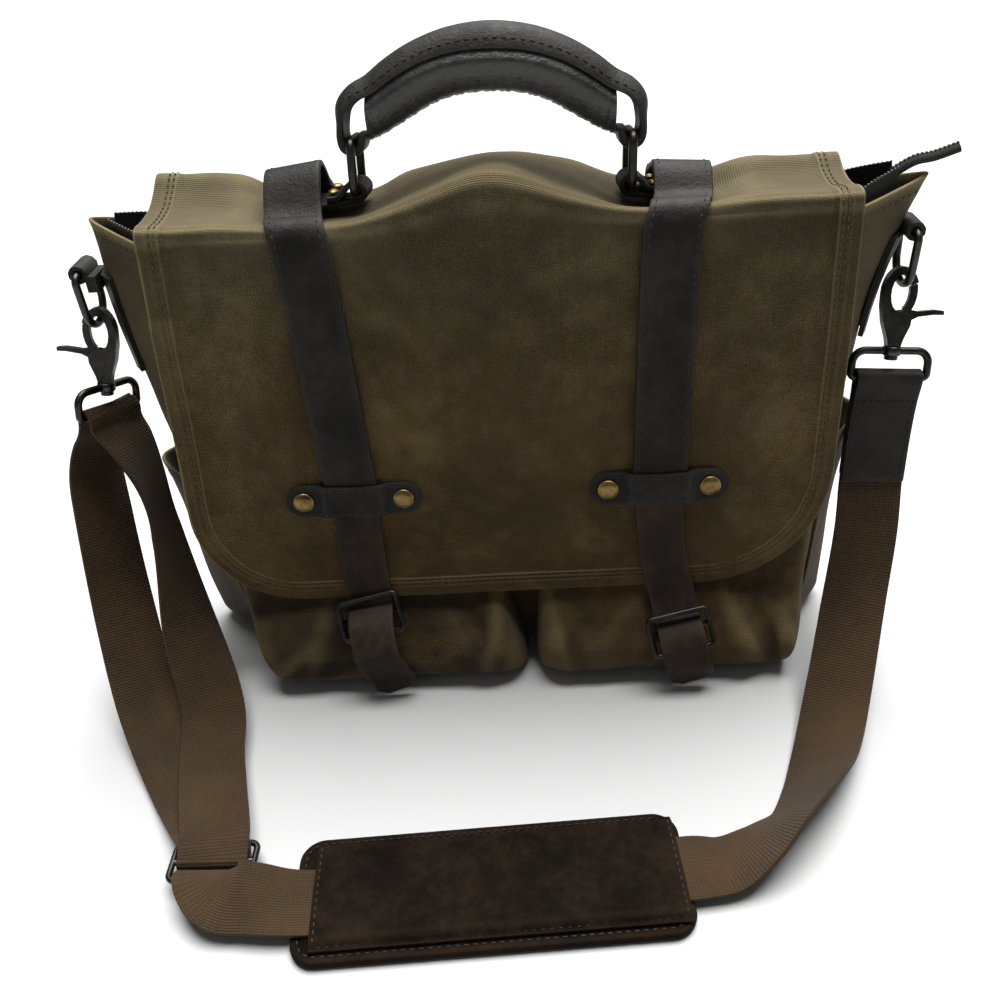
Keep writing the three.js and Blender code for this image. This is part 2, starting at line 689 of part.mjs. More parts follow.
// carry handle, drawn upright and then leaned back about the low bars of its rings
// its right ring hangs lower than its left one
const RING_DROP = 4;
const handleTurn = new THREE.Matrix4().makeTranslation(HANDLE_CENTRE, 1, RING_LOW_BAR - RING_DROP / 2);
handleTurn.multiply(new THREE.Matrix4().makeRotationY(Math.asin(RING_DROP / (2 * HANDLE_HALF_SPAN))));
handleTurn.multiply(new THREE.Matrix4().makeRotationX(radians(-HANDLE_LEAN)));

const mirroredRows = (half) => [
  ...half.map((row) => ({ ...row, x: -row.x, y: 0, heading: 90 })),
  ...half.slice(0, -1).reverse().map((row) => ({ ...row, y: 0, heading: 90 })),
];

// strap that loops round each ring and is domed over the roll, from a ring's inner side to the middle
// columns are place of its edges, height of its dome and its wall
const HANDLE_LOOP_WALL = 4.6;
const endLoop = RING_WIRE + GAP + 0.25 + HANDLE_LOOP_WALL / 2;
const HANDLE_HALF = [
  { x: HANDLE_HALF_SPAN - endLoop, z: RING_BAR_PITCH + 3, dome: 0, wall: HANDLE_LOOP_WALL },
  { x: HANDLE_HALF_SPAN - endLoop, z: RING_BAR_PITCH + 1, dome: 0, wall: HANDLE_LOOP_WALL },
  ...[225, 270, 315].map((angle) => ({
    x: HANDLE_HALF_SPAN + endLoop * Math.cos(radians(angle)),
    z: RING_BAR_PITCH + endLoop * Math.sin(radians(angle)),
    dome: 0,
    wall: HANDLE_LOOP_WALL,
  })),
  { x: HANDLE_HALF_SPAN + endLoop, z: RING_BAR_PITCH + 1, dome: 0, wall: HANDLE_LOOP_WALL },
  { x: HANDLE_HALF_SPAN + 4, z: 33, dome: 2.5, wall: 3.6 },
  { x: HANDLE_HALF_SPAN + 1.5, z: 39.5, dome: 5.5, wall: 3 },
  { x: HANDLE_HALF_SPAN - 3.5, z: 43.5, dome: 7, wall: LEATHER },
  { x: HANDLE_HALF_SPAN - 12, z: 47.2, dome: 7.6, wall: LEATHER },
  { x: HANDLE_HALF_SPAN - 23, z: 54, dome: 8.4, wall: LEATHER },
  { x: HANDLE_HALF_SPAN - 35.5, z: 60.2, dome: 9, wall: LEATHER },
  { x: HANDLE_HALF_SPAN - 52, z: 64.8, dome: 10, wall: LEATHER },
  { x: 0, z: 66.2, dome: 10.8, wall: LEATHER },
];
const handleRows = mirroredRows(HANDLE_HALF);
const onDome = (dome, v) => [(v * HANDLE_WIDTH) / 2, dome * (1 - v * v)];
const handleProfile = (k) => {
  const { dome, wall } = handleRows[k];
  const middle = [-1, -0.6, 0, 0.6, 1].map((v) => onDome(dome, v));
  const under = middle.map(([a, b]) => [a, b - wall / 2]);
  const top = middle.map(([a, b]) => [a, b + wall / 2]).reverse();
  return [...under, ...top];
};
const handleStrap = sweep(bandStations(handleRows, 1), handleProfile);
addPart('handle_strap', moved(handleStrap, handleTurn), leatherDark);

// padded roll that fills the dome and bulges below its edges, from its end at a ring to the middle
// columns are place of the strap's edges, height of the dome, depth below them and turn of its end upright
const ROLL_HALF_WIDTH = 14;
const ROLL_HALF = [
  { x: HANDLE_HALF_SPAN - 8.3, z: 44.7, dome: 5.6, depth: 19.6, upright: 1 },
  { x: HANDLE_HALF_SPAN - 12, z: 47.2, dome: 7.6, depth: 19.4, upright: 0.6 },
  { x: HANDLE_HALF_SPAN - 23, z: 54, dome: 8.4, depth: 19.5, upright: 0.2 },
  { x: HANDLE_HALF_SPAN - 35.5, z: 60.2, dome: 9, depth: 19.4, upright: 0 },
  { x: HANDLE_HALF_SPAN - 52, z: 64.8, dome: 10, depth: 19.4, upright: 0 },
  { x: 0, z: 66.2, dome: 10.8, depth: 19.4, upright: 0 },
];
const rollRows = mirroredRows(ROLL_HALF);
const rollStations = bandStations(rollRows, 1).map((station, k) => ({
  ...station,
  up: station.up.clone().lerp(vector(0, 0, 1), rollRows[k].upright).normalize(),
}));
const rollProfile = (k) => {
  const { dome, depth } = rollRows[k];
  const under = LEATHER / 2 + GAP + 0.25;
  const shoulder = -under - 0.7;
  const top = [0.6, 0, -0.6].map((v) => onDome(dome, v)).map(([a, b]) => [a, b - under]);
  const wide = ROLL_HALF_WIDTH;
  return [
    [wide, -0.28 * depth], [wide - 1.2, shoulder], ...top, [1.2 - wide, shoulder],
    [-wide, -0.28 * depth], [-0.83 * wide, -0.66 * depth], [-0.38 * wide, -depth],
    [0.38 * wide, -depth], [0.83 * wide, -0.66 * depth],
  ];
};
addPart('handle_roll', moved(sweep(rollStations, rollProfile), handleTurn), leatherDark);

const SIDES = [
  { name: 'left', side: -1, lowBar: RING_LOW_BAR },
  { name: 'right', side: 1, lowBar: RING_LOW_BAR - RING_DROP },
];
for (const { name, side } of SIDES) {
  const loop = wireLoop(roundedOutline(RING_HALF_LENGTH, RING_BAR_PITCH, 0, 4.5, 3), RING_WIRE, 6);
  loop.rotateZ(Math.PI / 2);
  loop.translate(side * HANDLE_HALF_SPAN, 0, 0);
  addPart(`handle_ring_${name}`, moved(loop, handleTurn), metalBlack);
}

// leather tabs from under the straps, folded round the low bars of the rings
const TAB_PATH = [
  { out: 37, z: -5.4, lean: 0 },
  { out: 26, z: -5.4, lean: 0 },
  { out: 15, z: -5.3, lean: 0.3 },
  { out: 6, z: -4.8, lean: 0.8 },
  { out: 0, z: -4.5, lean: 1 },
  { out: -3.15, z: -3.2, lean: 1 },
  { out: -4.55, z: 0, lean: 1 },
  { out: -3.2, z: 3.25, lean: 1 },
  { out: 0, z: 4.55, lean: 1 },
  { out: 4, z: 3, lean: 0.9 },
  { out: 7, z: 0.2, lean: 0.7 },
  { out: 10, z: -1.7, lean: 0.5 },
  { out: 15.5, z: -2, lean: 0.3 },
];
for (const { name, side, lowBar } of SIDES) {
  const rows = TAB_PATH.map(({ out, z, lean }) => ({
    x: HANDLE_CENTRE + side * (HANDLE_HALF_SPAN + out),
    y: 1,
    z: lowBar + z,
    heading: 90,
    rise: -HANDLE_LEAN * lean,
  }));
  addPart(`handle_tab_${name}`, sweep(bandStations(rows, 2), flatProfile(24, LEATHER)), leatherDark);
  for (const [end, y] of [['a', -5.5], ['b', 7.5]]) {
    const x = HANDLE_CENTRE + side * (HANDLE_HALF_SPAN + 12);
    const at = vector(x, y, lowBar + 0.6 - (y - 1) * 0.06);
    addPart(`tab_rivet_${name}_${end}`, rivet(3, 1.6, at, vector(0, 0.06, 1).normalize()), brassAged);
  }
}

// zip tapes inside the mouth, drawn from the left corner to the right
const ZIP_FRONT = [
  { x: -203, y: -8, z: 278, heading: 0, rise: 90 },
  { x: -190, y: -17, z: 275, heading: 0, rise: 90 },
  { x: -176, y: -24.3, z: 271, heading: 0, rise: 90 },
  { x: -160, y: -25.2, z: 269, heading: 0, rise: 90 },
  { x: 0, y: -25.4, z: 269, heading: 0, rise: 90 },
  { x: 164, y: -25.2, z: 270, heading: 0, rise: 90 },
  { x: 180, y: -24, z: 272, heading: 0, rise: 90 },
  { x: 194, y: -16.5, z: 278, heading: 0, rise: 90 },
  { x: 210, y: -8, z: 283, heading: 0, rise: 90 },
];
const zipTape = (rows) => sweep(bandStations(rows, 1), flatProfile(15, 1.2));
addPart('zip_tape_front', zipTape(ZIP_FRONT), zipBlack);
const ZIP_BACK = ZIP_FRONT.map((row) => ({ ...row, y: -row.y - 7 }));
addPart('zip_tape_back', zipTape(ZIP_BACK), zipBlack);
const ZIP_TAIL = [
  { x: 207.5, y: -3.5, z: 285.6, heading: 90 },
  { x: 218, y: -3.5, z: 291.4, heading: 90 },
  { x: 227, y: -3.6, z: 293, heading: 90 },
  { x: 239, y: -4, z: 297, heading: 90 },
];
addPart('zip_tail', sweep(bandStations(ZIP_TAIL, 3), roundProfile(3.7, 2.5, 8)), zipBlack);

// leather tab along each gusset ridge, with the sleeve of the D-ring at its top
const SIDE_PIECES = [
  { name: 'left', side: -1, bar: vector(-225, -4, SIDE_TAB_AT), outward: 6, forward: 10, turn: LEFT_TURN },
  { name: 'right', side: 1, bar: vector(221.5, -4, SIDE_TAB_AT), outward: -4, forward: 16, turn: 0 },
];
const LOOP_BAR_AT = -38.4;
const loopBars = {};
for (const piece of SIDE_PIECES) {
  const { name, side, bar, outward: aside, forward, turn } = piece;
  const under = makeGrid(steps(194, 248, 4), steps(-0.34, 0.34, 4), (z, v) => (
    gussetPoint(side, v, z, 0, GAP + 0.8)
  ));
  const strip = gridSolid(under, offsetGrid(under, side * LEATHER));
  const sleeve = turned([[2.75, -9], [5.2, -9], [5.2, 9], [2.75, 9], [2.75, -9]], 10);
  sleeve.rotateX(Math.PI / 2);
  sleeve.translate(bar.x, bar.y, bar.z);
  const wall = gussetPoint(side, 0, SIDE_TAB_AT - 10).x + side * (GAP + 2);
  const neckLength = Math.abs(bar.x - side * 3.2 - wall);
  const neck = new THREE.BoxGeometry(neckLength, 18, 9);
  neck.translate(wall + (side * neckLength) / 2, bar.y, bar.z - 5.5);
  const reach = Math.abs(bar.x - wall) < 4 ? strip : join(strip, neck);
  addPart(`side_tab_${name}`, join(reach, sleeve), leatherDark);

  // D-ring hanging from the sleeve
  const outline = [
    ...roundedOutline(D_RING_HALF_WIDTH, 0, -D_RING_HEIGHT, 4, 3).slice(0, 8),
    ...steps(190, 350, 8).map((angle) => [
      (D_RING_HALF_WIDTH - 1) * Math.cos(radians(angle)),
      -D_RING_HEIGHT + 13 + 13 * Math.sin(radians(angle)),
    ]),
  ];
  const ring = wireLoop(outline, D_RING_WIRE, 6);
  ring.rotateZ(Math.PI / 2);
  ring.translate(bar.x, bar.y, bar.z);
  addPart(`d_ring_${name}`, outward(ring), metalBlack);

  // clasp hung on the low point of the ring, drawn for the right side and mirrored for the left
  const hang = new THREE.Matrix4().makeTranslation(bar.x, bar.y, bar.z - D_RING_HEIGHT + 0.7);
  hang.multiply(new THREE.Matrix4().makeRotationY(radians(-side * aside)));
  hang.multiply(new THREE.Matrix4().makeRotationX(radians(-forward)));
  hang.multiply(new THREE.Matrix4().makeScale(side, 1, 1));
  loopBars[name] = vector(0, 0, LOOP_BAR_AT - LOOP_HEIGHT).applyMatrix4(hang);
  const { shell, gate } = claspSolids();
  addPart(`clasp_body_${name}`, moved(shell, hang), metalBlack);
  addPart(`clasp_gate_${name}`, moved(gate, hang), metalBlack);

  // swivel loop under the clasp
  const barAt = LOOP_BAR_AT;
  const wire = wireLoop(roundedOutline(LOOP_HALF_WIDTH, barAt, barAt - LOOP_HEIGHT, 7, 3, 2.4), LOOP_WIRE, 6);
  const boss = turned([[0, barAt - 2.4], [5, barAt - 2.4], [5, barAt + 2.4], [0, barAt + 2.4]], 10);
  const bore = turned([[0, barAt - 6], [2.5, barAt - 6], [2.5, barAt + 6], [0, barAt + 6]], 8);
  const loop = cut(join(wire, boss), bore);
  loop.rotateZ(radians(side < 0 ? -turn : 0));
  addPart(`swivel_loop_${name}`, moved(loop, hang), metalBlack);
}

// body and gate of a lobster clasp, local origin at the wire that it hangs from
function claspSolids() {
  const eye = { z: -6.5, half: 5.4, tall: 9.9 };
  const hook = { half: 9.6, tall: 14.4 };
  const onEye = (a) => [eye.half * Math.cos(radians(a)), eye.z + eye.tall * Math.sin(radians(a))];
  const onHook = (a) => [hook.half * Math.cos(radians(a)), eye.z + hook.tall * Math.sin(radians(a))];
  const bodyOutline = [
    [-3.6, -35.8], [-4.4, -32], [-7.6, -23], [-9.3, -14],
    ...steps(184, 24, 10).map(onHook),
    ...steps(24, 270, 12).map(onEye),
    [3.2, -16], [7.6, -19.5], [7.4, -24], [4.4, -32], [3.6, -35.8],
  ];
  const gateOutline = [
    [0.2, -22.6], [-0.4, -20], [0.6, -17.4], [3.4, -15.4],
    ...steps(-62, 20, 4).map(onEye),
    ...steps(20, -40, 4).map(onHook),
    [11, -16.4], [20, -15.4], [25.5, -16], [25.5, -18.2], [20, -18.2], [11.5, -19.4],
    [7.4, -21.6], [5.6, -23.6], [3.4, -24.1],
  ];
  const plate = (outline, wall) => {
    const shape = new THREE.Shape(outline.map(([x, z]) => new THREE.Vector2(x, z)));
    const geometry = new THREE.ExtrudeGeometry(shape, { depth: wall, bevelEnabled: false });
    geometry.translate(0, 0, -wall / 2);
    geometry.rotateX(Math.PI / 2);
    return geometry;
  };
  const pivot = { x: 3.4, z: -20 };
  const slot = new THREE.BoxGeometry(14.6, GATE_WALL + 0.7, 13.6);
  slot.translate(6.1, 0, -18.2);
  const pin = new THREE.CylinderGeometry(1.5, 1.5, 6.2, 10);
  pin.translate(pivot.x, 0, pivot.z);
  const eyeBore = new THREE.CylinderGeometry(1.9, 1.9, 8, 12);
  eyeBore.translate(pivot.x, 0, pivot.z);
  const stem = turned([
    [0, -43.4], [3.7, -43.4], [3.7, -41.3], [2, -41.3], [2, -35.6], [3.5, -35.6], [3.5, -33], [0, -33],
  ], 10);
  const shell = join(cut(plate(bodyOutline, 6.2), slot), pin, stem);
  const gate = cut(plate(gateOutline, GATE_WALL), eyeBore);
  return { shell, gate };
}

// shoulder strap webbing, from the slider up to the left loop, back down, through the pad and up right
// columns are place, heading of the width from +X toward +Y, and rise of the width
const SLIDER = { x: -157.5, y: -203, z: 9, pitch: 11 };
const wrapLeft = [0, 45, 90, 135, 180].map((angle) => ({
  x: loopBars.left.x + LOOP_WRAP * Math.cos(radians(angle)) * Math.sin(radians(LEFT_TURN)),
  y: loopBars.left.y - LOOP_WRAP * Math.cos(radians(angle)) * Math.cos(radians(LEFT_TURN)),
  z: loopBars.left.z + LOOP_WRAP * Math.sin(radians(angle)),
  heading: LEFT_TURN,
  rise: LEFT_RISE,
}));
const WEBBING_PATH = [
  { x: SLIDER.x, y: SLIDER.y + 3, z: 7.2, heading: 0 },
  { x: SLIDER.x, y: SLIDER.y, z: 5.9, heading: 0 },
  { x: SLIDER.x, y: SLIDER.y - 2.3, z: 6.8, heading: 0 },
  { x: SLIDER.x, y: SLIDER.y - 3.15, z: 9, heading: 0 },
  { x: SLIDER.x, y: SLIDER.y - 2.3, z: 11.3, heading: 0 },
  { x: SLIDER.x, y: SLIDER.y, z: 12.3, heading: 0 },
  { x: SLIDER.x - 0.5, y: SLIDER.y + 6, z: 14, heading: 1 },
  { x: SLIDER.x - 1, y: SLIDER.y + 12, z: 15, heading: 1 },
  { x: -166, y: -165, z: 14, heading: 5 },
  { x: -175, y: -134, z: 11, heading: 12 },
  { x: -181, y: -102, z: 17, heading: 30 },
  { x: -198.5, y: -62, z: 52, heading: 62 },
  { x: -207.5, y: -36, z: 102, heading: 88 },
  { x: -212, y: -26.5, z: 132, heading: 90 },
  { x: -219.5, y: -20, z: 154, heading: 78 },
  { x: -226.6, y: -15.6, z: 167, heading: LEFT_TURN, rise: LEFT_RISE },
  ...wrapLeft,
  { x: -236.5, y: -10.6, z: 166, heading: LEFT_TURN, rise: LEFT_RISE },
  { x: -243, y: -12, z: 154, heading: 61 },
  { x: -247, y: -18, z: 138, heading: 61 },
  { x: -245.5, y: -30, z: 112, heading: 56 },
  { x: -238.5, y: -57, z: 58, heading: 45 },
  { x: -220.5, y: -99, z: 17, heading: 33 },
  { x: -191, y: -146, z: 4, heading: 16 },
  { x: -168.5, y: -178, z: 8.4, heading: 4 },
  { x: -159.5, y: SLIDER.y + 11, z: 12.1, heading: 1 },
  { x: SLIDER.x, y: SLIDER.y + 5.4, z: 8, heading: 0 },
  { x: SLIDER.x, y: SLIDER.y, z: 3.2, heading: 0 },
  { x: SLIDER.x, y: SLIDER.y - 5.6, z: 8.2, heading: -2 },
  { x: -156, y: SLIDER.y - 11.6, z: 12.2, heading: -4 },
  { x: -147, y: SLIDER.y - 22, z: 12.6, heading: 24, rise: 6 },
  { x: -132, y: -226.5, z: 11, heading: 62, rise: 6 },
  { x: -117, y: -227.6, z: 8.8, heading: 87, rise: 2 },
  { x: -100, y: -227, z: 6.85, heading: 94 },
  { x: -13, y: -220.4, z: 6.75, heading: 94.3 },
  { x: 70, y: -214.1, z: 6.75, heading: 94.3 },
  { x: 92, y: -212.3, z: 6.6, heading: 97 },
  { x: 108, y: -209.5, z: 5.4, heading: 104, rise: -10 },
  { x: 126, y: -201, z: 11.2, heading: 119, rise: -32 },
  { x: 143, y: -188, z: 16, heading: 135, rise: -50 },
  { x: 158, y: -168, z: 13.6, heading: 149, rise: -40 },
  { x: 171, y: -144, z: 10, heading: 158, rise: -22 },
  { x: 187.5, y: -105, z: 13, heading: 166, rise: -6 },
  { x: 204.5, y: -61, z: 44, heading: 172 },
  { x: 213.4, y: -37.5, z: 84, heading: 177 },
  { x: 215.6, y: -25.5, z: 112, heading: 179, rise: 1.5 },
  { x: 216.8, y: -20.5, z: 140, heading: 180, rise: 3 },
  { x: 217.5, y: -18.9, z: 163, heading: 180, rise: 4 },
];
const webbing = sweep(bandStations(WEBBING_PATH, 2), flatProfile(WEBBING_WIDTH, WEBBING));
addPart('shoulder_webbing', webbing, webbingBrown);

// leather end folded over the right loop and down both faces of the webbing
const wrapRight = [180, 135, 90, 45, 0].map((angle) => ({
  x: loopBars.right.x,
  y: loopBars.right.y + LOOP_WRAP * Math.cos(radians(angle)),
  z: loopBars.right.z + LOOP_WRAP * Math.sin(radians(angle)),
  heading: 180,
  rise: 4,
}));
const LEATHER_END = [
  { x: 215.5, y: -28.2, z: 112, heading: 180, rise: 1.5 },
  { x: 216.8, y: -23, z: 140, heading: 180, rise: 3 },
  { x: 217.5, y: -21.6, z: 162, heading: 180, rise: 4 },
  ...wrapRight,
  { x: 217.5, y: -16.2, z: 162, heading: 180, rise: 4 },
  { x: 216.8, y: -18, z: 140, heading: 180, rise: 3 },
  { x: 215.8, y: -22.6, z: 114, heading: 180, rise: 1.5 },
];
const leatherEnd = sweep(bandStations(LEATHER_END, 2), flatProfile(36.6, 2));
addPart('strap_end_leather', leatherEnd, leatherDark);

// three-bar slider
const sliderFrame = wireLoop(roundedOutline(21.4, SLIDER.pitch, -SLIDER.pitch, 4, 3), 1.6, 6);
const sliderBar = new THREE.CylinderGeometry(1.6, 1.6, 42.8, 8);
sliderBar.rotateZ(Math.PI / 2);
const slider = join(sliderFrame, sliderBar);
slider.rotateX(-Math.PI / 2);
slider.translate(SLIDER.x, SLIDER.y, SLIDER.z);
addPart('strap_slider', outward(slider), metalBlack);

// shoulder pad, base under the webbing and cover over it
const padTurn = new THREE.Matrix4().makeTranslation(-13, -218, 0);
padTurn.multiply(new THREE.Matrix4().makeRotationZ(radians(3.6)));
const padOutline = roundedOutline(PAD_LENGTH / 2, PAD_WIDTH / 2, -PAD_WIDTH / 2, 13, 4);
const padShape = new THREE.Shape(padOutline.map(([x, y]) => new THREE.Vector2(x, y)));
const padBase = new THREE.ExtrudeGeometry(padShape, {
  depth: 2.8,
  bevelEnabled: true,
  bevelThickness: 1.1,
  bevelSize: 1.1,
  bevelOffset: -1.1,
  bevelSegments: 1,
});
padBase.translate(0, 0, 1.4);
addPart('pad_base', moved(mergeVertices(padBase), padTurn), leatherBrown);

const coverRows = steps(-PAD_LENGTH / 2 + 10, PAD_LENGTH / 2 - 3, 4);
const coverGrid = makeGrid(coverRows, [-30, -27, -24, 0, 24, 27, 30], (x, y) => {
  const over = THREE.MathUtils.smoothstep(29.5 - Math.abs(y), 0, 5);
  return vector(x, y, 5.3 + GAP + 2.5 * over);
});
const cover = gridSolid(coverGrid, coverGrid.map((row) => row.map((p) => vector(p.x, p.y, p.z + 2))));
addPart('pad_cover', moved(cover, padTurn), leatherBrown);

export default bag;
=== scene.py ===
"""Canvas messenger bag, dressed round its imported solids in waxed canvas, leather and cotton webbing."""

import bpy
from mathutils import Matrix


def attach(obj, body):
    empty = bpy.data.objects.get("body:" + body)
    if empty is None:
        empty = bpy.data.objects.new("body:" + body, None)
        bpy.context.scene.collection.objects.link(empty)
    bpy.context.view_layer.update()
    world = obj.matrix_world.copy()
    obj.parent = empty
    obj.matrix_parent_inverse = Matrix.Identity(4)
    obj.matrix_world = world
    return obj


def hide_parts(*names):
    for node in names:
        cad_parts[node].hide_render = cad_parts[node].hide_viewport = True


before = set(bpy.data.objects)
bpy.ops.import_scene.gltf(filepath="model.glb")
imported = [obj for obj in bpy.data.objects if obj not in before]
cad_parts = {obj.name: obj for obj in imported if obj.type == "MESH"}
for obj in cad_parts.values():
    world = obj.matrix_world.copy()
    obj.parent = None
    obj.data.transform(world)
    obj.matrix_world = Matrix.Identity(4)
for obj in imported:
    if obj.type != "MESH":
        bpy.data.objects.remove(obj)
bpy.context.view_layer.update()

import math
from collections import namedtuple

import bmesh
import bpy
import numpy as np
from mathutils import Matrix, Vector, noise

MM = 0.001
BAG = "bag"
UPWARD = np.array((0.0, 0.0, 1.0))


def table(columns, *rows):
    """Rows of a table as dictionaries, with the columns' names in one string."""
    names = columns.split()
    return [dict(zip(names, row)) for row in rows]


# Walls and gaps, all sizes in millimetres
CANVAS = 2.0
FLAP_WALL = 2.6
LEATHER = 2.8
GAP = 0.35
BASE_ROUND = 9.0
RIM_HEIGHT = 275.0
TIP_RISE = 10.0
FOLD_ROUNDING = 0.25
SIDE_POCKET_GAPE = 8.0

# Flap
FLAP_FRONT_AT_FLOOR = -60.0
FLAP_LEAN = 0.08
FLAP_HEM_HEIGHT = 62.0
FLAP_HALF_WIDTH = 185.0
FLAP_LEFT_TOP = 180.0
CREST_SPREAD = 40.0
TAB_PLACE = 90.0
TAB_SPREAD = 36.0
CORNER_LEFT = 60.0
CORNER_RIGHT = 76.0
HEM_WIDTH = 12.0

# Straps, handle and fittings
STRAP_WIDTH = 30.0
KEEPER_AT = 130.0
KEEPER_PLACE = 87.0
KEEPER_HALF_LENGTH = 39.0
KEEPER_HALF_HEIGHT = 10.0
KEEPER_WALL = 2.4
RIVET_PITCH = 57.5
RIVET_RADIUS = 6.0
RIVET_HEIGHT = 2.6
BILLET_WIDTH = 27.0
BILLET_WALL = 2.6
BUCKLE_TILT = 12.0
BUCKLE_HALF_WIDTH = 18.0
BUCKLE_HALF_HEIGHT = 11.5
BUCKLE_WIRE = 1.7
# Height of a billet over the low bar of its buckle
BILLET_OVER = 8.4
HANDLE_CENTRE = 2.0
HANDLE_HALF_SPAN = 71.0
HANDLE_WIDTH = 25.0
HANDLE_LEAN = 8.0
HANDLE_TAB_WIDTH = 24.0
TAB_RIVET_RADIUS = 3.0
TAB_RIVET_HEIGHT = 1.6
RING_LOW_BAR = 291.0
RING_DROP = 4.0
RING_BAR_PITCH = 25.0
RING_HALF_LENGTH = 15.5
RING_WIRE = 2.3
D_RING_HEIGHT = 31.0
D_RING_HALF_WIDTH = 14.0
D_RING_WIRE = 2.2
SIDE_TAB_AT = 257.0
LOOP_HALF_WIDTH = 21.2
LOOP_HEIGHT = 15.0
LOOP_WIRE = 2.2
LOOP_WRAP = 3.95
LOOP_BAR_AT = -38.4
LEFT_TURN = 62.0
LEFT_RISE = -11.5

# Shoulder strap and zip
WEBBING_WIDTH = 36.5
WEBBING = 1.8
STRAP_END_WIDTH = 36.6
STRAP_END_WALL = 2.0
SLIDER_HALF_WIDTH = 21.4
SLIDER_WIRE = 1.7
SLIDER_BAR = 1.65
PAD_LENGTH = 198.0
PAD_WIDTH = 71.0
PAD_CORNER = 13.0
PAD_THICKNESS = 4.9
PAD_COVER_WALL = 2.0
PAD_COVER_HALF_WIDTH = 30.5
ZIP_WIDTH = 15.0
ZIP_WALL = 1.2

# Photograph's camera
CAMERA_AT = (0.0202, -0.5261, 0.4455)
CAMERA_PITCH = 33.97
CAMERA_YAW = -2.85
CAMERA_ROLL = -4.01
CAMERA_LENS = 36.0

BODY = table(
    "z left_edge right_edge front back left_ridge right_ridge",
    (0, -156, 174, -32, 52, -199, 202),
    (40, -166, 180, -34, 54, -204, 201),
    (100, -176, 183, -34, 51, -203, 198),
    (170, -180, 184, -33, 43, -207, 202),
    (225, -181, 184, -31, 33, -212.5, 209),
    (275, -180, 184, -29, 22, -214, 226),
)


# Tables and curves


def smooth_value(rows, along, column, value):
    """Value of one column of a table, eased along another column."""
    last = len(rows) - 1
    i = 0
    while i < last - 1 and value > rows[i + 1][along]:
        i += 1

    def slope(k):
        before, after = rows[max(0, k - 1)], rows[min(last, k + 1)]
        return (after[column] - before[column]) / (after[along] - before[along])

    span = rows[i + 1][along] - rows[i][along]
    t = min(1.0, max(0.0, (value - rows[i][along]) / span))
    rise = t * t * (3 - 2 * t)
    start_pull = t * (1 - t) ** 2 * slope(i) * span
    end_pull = t * t * (t - 1) * slope(i + 1) * span
    return rows[i][column] * (1 - rise) + rows[i + 1][column] * rise + start_pull + end_pull


def smooth_step(value, low, high):
    """0 below low and 1 above high, eased between them."""
    t = min(1.0, max(0.0, (value - low) / (high - low)))
    return t * t * (3 - 2 * t)


def bump(value, centre, spread):
    """Bell curve that is 1 at its centre."""
    return math.exp(-(((value - centre) / spread) ** 2))


def unit(vector):
    return vector / np.linalg.norm(vector)


Station = namedtuple("Station", "at across up")


def curve_point(points, order):
    """Place and direction on a smooth curve through points, at a running point number."""
    last = len(points) - 1
    i = min(int(order), last - 1)
    t = order - i
    first = points[i - 1] if i > 0 else 2 * points[0] - points[1]
    fourth = points[i + 2] if i + 2 <= last else 2 * points[last] - points[last - 1]
    p = (first, points[i], points[i + 1], fourth)
    gap = [max(1e-4, np.linalg.norm(p[k + 1] - p[k])) ** 0.5 for k in range(3)]
    leave = (p[1] - p[0]) / gap[0] - (p[2] - p[0]) / (gap[0] + gap[1]) + (p[2] - p[1]) / gap[1]
    arrive = (p[2] - p[1]) / gap[1] - (p[3] - p[1]) / (gap[1] + gap[2]) + (p[3] - p[2]) / gap[2]
    leave, arrive = leave * gap[1], arrive * gap[1]
    square = 3 * (p[2] - p[1]) - 2 * leave - arrive
    cube = 2 * (p[1] - p[2]) + leave + arrive
    place = p[1] + leave * t + square * t**2 + cube * t**3
    return place, unit(leave + 2 * square * t + 3 * cube * t**2)


def route(rows, per_row):
    """Stations of a band through a table with columns x, y, z, heading and rise, angles in degrees."""
    points = [np.array((row["x"], row["y"], row["z"]), float) for row in rows]
    turns = []
    for order, row in enumerate(rows):
        turns.append({"order": order, "heading": row["heading"], "rise": row.get("rise", 0)})
    last = len(rows) - 1
    stations = []
    for order in np.linspace(0, last, last * per_row + 1):
        at, along = curve_point(points, order)
        heading = math.radians(smooth_value(turns, "order", "heading", order))
        rise = math.radians(smooth_value(turns, "order", "rise", order))
        level = math.cos(rise)
        across = np.array((math.cos(heading) * level, math.sin(heading) * level, math.sin(rise)))
        across = unit(across - along * across.dot(along))
        stations.append(Station(at, across, unit(np.cross(along, across))))
    return stations


# Meshes


def grid_normals(points):
    """Unit normals of a grid of points."""
    across = np.gradient(points, axis=1)
    along = np.gradient(points, axis=0)
    normals = np.cross(across, along)
    return normals / np.maximum(np.linalg.norm(normals, axis=2, keepdims=True), 1e-9)


def running_length(points):
    """Distance along a row of points, from 0 at the first."""
    steps = np.linalg.norm(np.diff(points, axis=0), axis=1)
    return np.concatenate([[0.0], np.cumsum(steps)])


